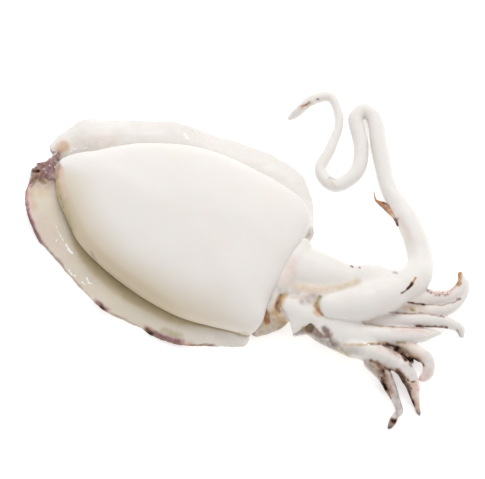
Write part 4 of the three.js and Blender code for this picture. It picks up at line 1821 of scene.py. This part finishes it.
SUCKER_ROWS = (
    Row(((127.5, -29, 14), (133.5, -31.5, 14), (140.5, -32, 13.5), (146, -29, 13)), 8, 0.5),
    Row(((129, -31.5, 14), (136, -33.5, 13.5), (143, -33, 13)), 6, 0.5),
    Row(((112, -54.5, 9), (124, -55.2, 8), (140, -54.5, 7)), 18, 0.5),
    Row(((114, -55.8, 8), (128, -56.4, 7), (141, -55.6, 6)), 14, 0.45),
    Row(((112, -58.2, 12), (122, -57.8, 11), (133, -58.5, 9)), 11, 0.4),
    Row(((119.5, -81, 3), (121.8, -85.5, 2.5), (121, -90.5, 2.5)), 6, 0.4, 0.2),
)

# Rows of beads set where the flesh shows glints; their near-white colour paints the glints.
MANTLE_BEADS = (
    Row(((-137, 20.5, 5), (-134.5, 14.5, 5), (-131.5, 9.5, 5)), 8, 0.45, 0.4),
    Row(((-130, 7, 5), (-128, 3, 5), (-125.5, 0, 5)), 5, 1.15, 0.4),
    Row(((-137.5, 8.5, 5), (-136, 11.5, 5)), 3, 0.5, 0.3),
    Row(((-127.5, -11, 4), (-126, -14, 4), (-123, -16, 4)), 6, 0.8, 0.5),
    Row(((-118, -20.5, 4), (-116, -23, 4)), 4, 0.75, 0.4),
    Row(((-114.5, -18, 5), (-113, -22, 5), (-111, -22.5, 5)), 5, 0.75, 0.4),
    Row(((-157, 39, 3), (-156.5, 34.5, 3), (-154, 28.5, 3)), 5, 0.3, 0.6),
    Row(((-142, 6, 3), (-136.5, -0.5, 3)), 5, 0.3, 0.5),
    Row(((-129.5, 76, 8), (-124.5, 78.5, 9)), 5, 0.6, 0.4),
    Row(((-119, 78.5, 9), (-116.5, 79.5, 9)), 3, 0.5, 0.3),
    Row(((-100, 78, 9), (-97, 78.5, 9)), 3, 0.5, 0.3),
    Row(((-94.5, 78, 9), (-92, 77.5, 9)), 3, 0.5, 0.3),
    Row(((-111, 87.5, 9), (-104.5, 86, 9)), 4, 0.3, 0.6),
    Row(((-95, 88, 8), (-92, 87, 8)), 2, 0.35, 0.3),
    Row(((-89, 86.5, 8), (-87.5, 85, 8)), 2, 0.3, 0.3),
    Row(((-124.5, 66.5, 15), (-119.5, 69.5, 15)), 3, 0.4, 0.3),
    Row(((-48, 97, 4), (-46.5, 97.5, 4)), 2, 0.45, 0.2),
    Row(((-40.5, 96, 4), (-37.5, 94.5, 4)), 3, 0.5, 0.3),
)

HEAD_BEADS = (
    Row(((61.5, -53, 13), (64.5, -54.5, 12), (67, -56.5, 12)), 5, 0.6, 0.3),
    Row(((65.5, -63.5, 14), (66, -66.5, 14)), 2, 0.5, 0.2),
    Row(((81, -71.5, 14), (84.5, -73, 14)), 4, 0.75, 0.3),
    Row(((88.5, -74.5, 14), (91.5, -76, 14)), 3, 0.4, 0.3),
    Row(((97, -76.5, 14), (101.5, -81, 14)), 5, 0.55, 0.4),
    Row(((117.5, -4.5, 20), (118, -5, 20)), 1, 0.6, 0),
    Row(((78, -29, 20), (81.5, -31, 20)), 2, 0.4, 0.2),
    Row(((130.5, -31.5, 13), (132, -31.5, 13)), 2, 0.6, 0.1),
    Row(((123.5, -62.5, 12), (126, -63.5, 12)), 3, 0.5, 0.2),
    Row(((93, 102.5, 11), (96.5, 97, 11)), 4, 0.45, 0.3),
    Row(((80.5, 93.5, 10), (82, 91, 10)), 2, 0.4, 0.2),
)

TAIL_BEADS = (
    Row(((-144, 69, 10), (-142, 66, 10)), 3, 0.4, 0.4),
    Row(((-147.5, 64, 9), (-144.5, 61.5, 9)), 3, 0.4, 0.4),
    Row(((-140, 66.5, 11), (-139, 64, 11)), 3, 0.4, 0.3),
    Row(((-138, 69, 12), (-136.5, 66.5, 12)), 3, 0.45, 0.3),
)


@dataclass(frozen=True)
class Scatter:
    """Points to set small things on: where, facing which way, lying along what, and how big."""

    places: Array
    facing: Array
    along: Array
    radii: Array

    @classmethod
    def joined(cls, parts: Iterable["Scatter"]) -> "Scatter":
        """All the points of some parts, one part after the other."""
        return cls(*(
            np.concatenate(values)
            for values in zip(*((part.places, part.facing, part.along, part.radii) for part in parts))))


def rows_on_flesh(rows: Iterable[Row], flesh: Ground, seed: int) -> Scatter:
    """Points in rows on the flesh.

    Args:
        rows: the rows.
        flesh: the flesh that they rest on.
        seed: the seed of their straying.

    Returns:
        The points, in millimetres.
    """
    random = np.random.default_rng(seed)
    beside = 0.05
    places, along, radii = [], [], []
    for row in rows:
        shares = (np.arange(row.count) + 0.5) / row.count
        route = np.array(row.path, float)
        line = spline(route, shares)
        along.append(spline(route, shares + beside) - spline(route, shares - beside))
        places.append(line + random.uniform(-row.stray, row.stray, line.shape))
        radii.append(row.radius * random.uniform(*row.sizes, row.count))
    rested = flesh.rested(np.vstack(places))
    return Scatter(rested, flesh.facing(rested), np.vstack(along), np.concatenate(radii))


def scatter_tree(name: str, sockets: dict[str, str]) -> tuple[NodeTree, Node, Node]:
    """A geometry tree with a geometry, a seed and some more inputs.

    Args:
        name: the tree's name.
        sockets: the further inputs and their socket types.

    Returns:
        The tree, its input node and its output node.
    """
    tree = bpy.data.node_groups.new(name, "GeometryNodeTree")
    for key, kind in {"Geometry": "NodeSocketGeometry", "Seed": "NodeSocketInt", **sockets}.items():
        tree.interface.new_socket(key, in_out="INPUT", socket_type=kind)
    tree.interface.new_socket("Geometry", in_out="OUTPUT", socket_type="NodeSocketGeometry")
    return tree, add_node(tree, "NodeGroupInput"), add_node(tree, "NodeGroupOutput")


def finish_tree(tree: NodeTree, start: Node, end: Node, thing: NodeSocket, finish: Material) -> None:
    """Set a thing on every point, facing and scaled by the points' own values.

    Args:
        tree: the tree.
        start: its input node.
        end: its output node.
        thing: the geometry of one thing, one unit in radius.
        finish: its material.
    """
    named = "GeometryNodeInputNamedAttribute"
    facing = add_node(tree, named, {"data_type": "FLOAT_VECTOR"}, {"Name": "facing"})
    girth = add_node(tree, named, {"data_type": "FLOAT"}, {"Name": "girth"})
    along = add_node(tree, named, {"data_type": "FLOAT_VECTOR"}, {"Name": "along"})
    least, most = SIZE_SPREAD
    uneven = add_node(tree, "FunctionNodeRandomValue", {"data_type": "FLOAT"}, {
        2: least, 3: most, "Seed": start.outputs["Seed"]})
    size = add_node(tree, "ShaderNodeMath", {"operation": "MULTIPLY"}, {
        0: girth.outputs["Attribute"], 1: uneven.outputs[1]})
    upright = add_node(tree, "FunctionNodeAlignRotationToVector", {"axis": "Z"}, {
        "Vector": facing.outputs["Attribute"]})
    turned = add_node(tree, "FunctionNodeAlignRotationToVector", {"axis": "X", "pivot_axis": "Z"}, {
        "Rotation": upright.outputs["Rotation"], "Vector": along.outputs["Attribute"]})
    points = add_node(tree, "GeometryNodeMeshToPoints", {}, {"Mesh": start.outputs["Geometry"]})
    placed = add_node(tree, "GeometryNodeInstanceOnPoints", {}, {
        "Points": points.outputs["Points"], "Instance": thing,
        "Rotation": turned.outputs["Rotation"], "Scale": size.outputs["Value"]})
    real = add_node(tree, "GeometryNodeRealizeInstances", {}, {"Geometry": placed.outputs["Instances"]})
    dressed = add_node(tree, "GeometryNodeSetMaterial", {}, {
        "Geometry": real.outputs["Geometry"], "Material": finish})
    smoothed = add_node(tree, "GeometryNodeSetShadeSmooth", {}, {"Geometry": dressed.outputs["Geometry"]})
    tree.links.new(smoothed.outputs["Geometry"], end.inputs["Geometry"])


def scattered(name: str, where: Scatter, tree: NodeTree, settings: dict[str, Any]) -> Object:
    """A plain mesh of things set on points by a geometry tree.

    Args:
        name: the piece's name.
        where: the points, in millimetres.
        tree: the tree that sets the things.
        settings: the tree's named inputs.

    Returns:
        The piece, with no modifier left on it.
    """
    points = bpy.data.meshes.new(name + "_points")
    points.from_pydata(to_frame(where.places), [], [])
    for key, ways in (("facing", where.facing), ("along", where.along)):
        way = points.attributes.new(key, "FLOAT_VECTOR", "POINT")
        way.data.foreach_set("vector", ways.astype(np.float32).reshape(-1))
    size = points.attributes.new("girth", "FLOAT", "POINT")
    size.data.foreach_set("value", (where.radii * METRES_PER_MM).astype(np.float32))
    piece = linked(name, points)
    modifier = piece.modifiers.new("scatter", "NODES")
    modifier.node_group = tree
    for item in tree.interface.items_tree:
        if item.in_out == "INPUT" and item.name in settings:
            modifier[item.identifier] = settings[item.name]
    graph = bpy.context.evaluated_depsgraph_get()
    mesh = bpy.data.meshes.new_from_object(piece.evaluated_get(graph))
    piece.modifiers.remove(modifier)
    piece.data = mesh
    mesh.name = name
    bpy.data.meshes.remove(points)
    return piece


@dataclass(frozen=True)
class Suckers:
    """The small ringed suckers on the arms' inner faces."""

    rows: tuple[Row, ...] = SUCKER_ROWS
    ring_radius: float = 0.72
    thickness: float = 0.5
    ring_sides: int = 12
    section_sides: int = 7
    seed: int = 51

    def build(self, field_of_arms: FleshField, finish: Material) -> Object:
        """Build all the suckers as one piece.

        Args:
            field_of_arms: the flesh that they sit on.
            finish: their material.

        Returns:
            The piece.
        """
        where = rows_on_flesh(self.rows, field_of_arms, self.seed)
        settings = {"Ring thickness": self.thickness, "Seed": self.seed}
        piece = scattered("arm_suckers", where, self._tree(finish), settings)
        claim(piece, replaces_solid=False)
        return piece

    def _tree(self, finish: Material) -> NodeTree:
        """The node tree that sets a ring on every point."""
        tree, start, end = scatter_tree("set_suckers", {"Ring thickness": "NodeSocketFloat"})
        ring = add_node(tree, "GeometryNodeCurvePrimitiveCircle", {}, {
            "Resolution": self.ring_sides, "Radius": self.ring_radius})
        section = add_node(tree, "GeometryNodeCurvePrimitiveCircle", {}, {
            "Resolution": self.section_sides, "Radius": start.outputs["Ring thickness"]})
        cup = add_node(tree, "GeometryNodeCurveToMesh", {}, {
            "Curve": ring.outputs["Curve"], "Profile Curve": section.outputs["Curve"]})
        finish_tree(tree, start, end, cup.outputs["Mesh"], finish)
        return tree


@dataclass(frozen=True)
class WetGlintBeads:
    """Beads and short streaks of water in the folds of the flesh, near-white so that they paint its glints.
    """

    on_mantle: tuple[Row, ...] = MANTLE_BEADS
    on_head: tuple[Row, ...] = HEAD_BEADS
    on_tail: tuple[Row, ...] = TAIL_BEADS
    stretch: Point = (1.6, 0.75, 0.38)
    roundness: int = 3
    seed: int = 71

    def build(self, mantle: Ground, head: Ground, tail: Ground, finish: Material) -> Object:
        """Build all the beads as one piece.

        Args:
            mantle: the mantle and fins, already built, that beads stand on.
            head: the flesh of the head and arms.
            tail: the flesh of the tail's tissue.
            finish: their material.

        Returns:
            The piece.
        """
        grounds = ((self.on_mantle, mantle), (self.on_head, head), (self.on_tail, tail))
        beads = Scatter.joined(rows_on_flesh(rows, ground, self.seed) for rows, ground in grounds)
        settings = {"Stretch": self.stretch, "Seed": self.seed}
        piece = scattered("wet_beads_painted_glints", beads, self._tree(finish), settings)
        claim(piece, replaces_solid=False)
        return piece

    def _tree(self, finish: Material) -> NodeTree:
        """The node tree that sets a flat bead on every point."""
        tree, start, end = scatter_tree("set_beads", {"Stretch": "NodeSocketVector"})
        ball = add_node(tree, "GeometryNodeMeshIcoSphere", {}, {
            "Radius": 1.0, "Subdivisions": self.roundness})
        bead = add_node(tree, "GeometryNodeTransform", {}, {
            "Geometry": ball.outputs["Mesh"], "Scale": start.outputs["Stretch"]})
        finish_tree(tree, start, end, bead.outputs["Geometry"], finish)
        return tree


# ---- The studio ---------------------------------------------------------------------------


@dataclass(frozen=True)
class Studio:
    """A white table, soft light from the far right, and the camera above the near side."""

    sensor_mm: float = 36.0
    table_size: float = 6.0
    sky: float = 0.74
    key_power: float = 45.0
    key_size: float = 1.7
    glint_power: float = 6.0
    glint_size: float = 0.28
    key_place: Point = (0.5, 2.1, 2.35)

    def build(self) -> None:
        """Build the table, the lights and the camera."""
        self._table()
        self._lights()
        self._camera()

    def _table(self) -> None:
        """Lay the white table under the animal."""
        half = self.table_size / 2
        mesh = bpy.data.meshes.new("table")
        corners = [(-half, -half, 0), (half, -half, 0), (half, half, 0), (-half, half, 0)]
        mesh.from_pydata(corners, [], [(0, 1, 2, 3)])
        mesh.materials.append(BackdropFinish().make())
        linked("table", mesh)

    def _lights(self) -> None:
        """Set an even pale sky, a large soft lamp, and a small one that shows only as glints."""
        world = bpy.data.worlds.new("studio")
        world.use_nodes = True
        sky = world.node_tree.nodes["Background"]
        sky.inputs["Color"].default_value = (1, 1, 1, 1)
        sky.inputs["Strength"].default_value = self.sky
        bpy.context.scene.world = world
        key = self._lamp("key", self.key_power, self.key_size)
        key.visible_glossy = False
        glint = self._lamp("glint", self.glint_power, self.glint_size)
        glint.visible_diffuse = False

    def _lamp(self, name: str, power: float, size: float) -> Object:
        """Set a square lamp at the key's place, facing the animal.

        Args:
            name: its name.
            power: its power in watts.
            size: its side in metres.

        Returns:
            The lamp.
        """
        light = bpy.data.lights.new(name, "AREA")
        light.energy = power
        light.size = size
        lamp = linked(name, light)
        lamp.location = self.key_place
        lamp.rotation_euler = (-Vector(self.key_place)).to_track_quat("-Z", "Y").to_euler()
        return lamp

    def _camera(self) -> None:
        """Set the camera at its angle and reach, and keep whites white."""
        scene = bpy.context.scene
        lens = bpy.data.cameras.new("camera")
        lens.sensor_width = self.sensor_mm
        lens.lens = self.sensor_mm * SIGHT.distance_mm / (SIGHT.picture[0] * SIGHT.mm_per_pixel)
        camera = linked("camera", lens)
        away = Vector(SIGHT.away)
        target = Vector((*SIGHT.target_mm, 0.0)) * METRES_PER_MM
        camera.location = target + away * SIGHT.distance_mm * METRES_PER_MM
        camera.rotation_euler = (-away).to_track_quat("-Z", "Y").to_euler()
        scene.camera = camera
        scene.view_settings.view_transform = "Standard"


def main() -> None:
    """Build every piece in order, and report it."""
    logging.basicConfig(level=logging.INFO, format="%(name)s: %(message)s")
    flesh = FleshFinish().make()
    mantle, head, tail = MantleAndFins(), HeadAndArms(), TailTissue()
    pieces = [part.build(flesh) for part in (mantle, head, tail, TornShred())]
    pieces.append(Suckers().build(head.field, SuckerFinish().make()))
    pieces.append(WetGlintBeads().build(mantle, head.field, tail.field, WaterGlintFinish().make()))
    for piece in pieces:
        LOG.info("%s: %d faces", piece.name, len(piece.data.polygons))
    Studio().build()


if __name__ == "__main__":
    main()
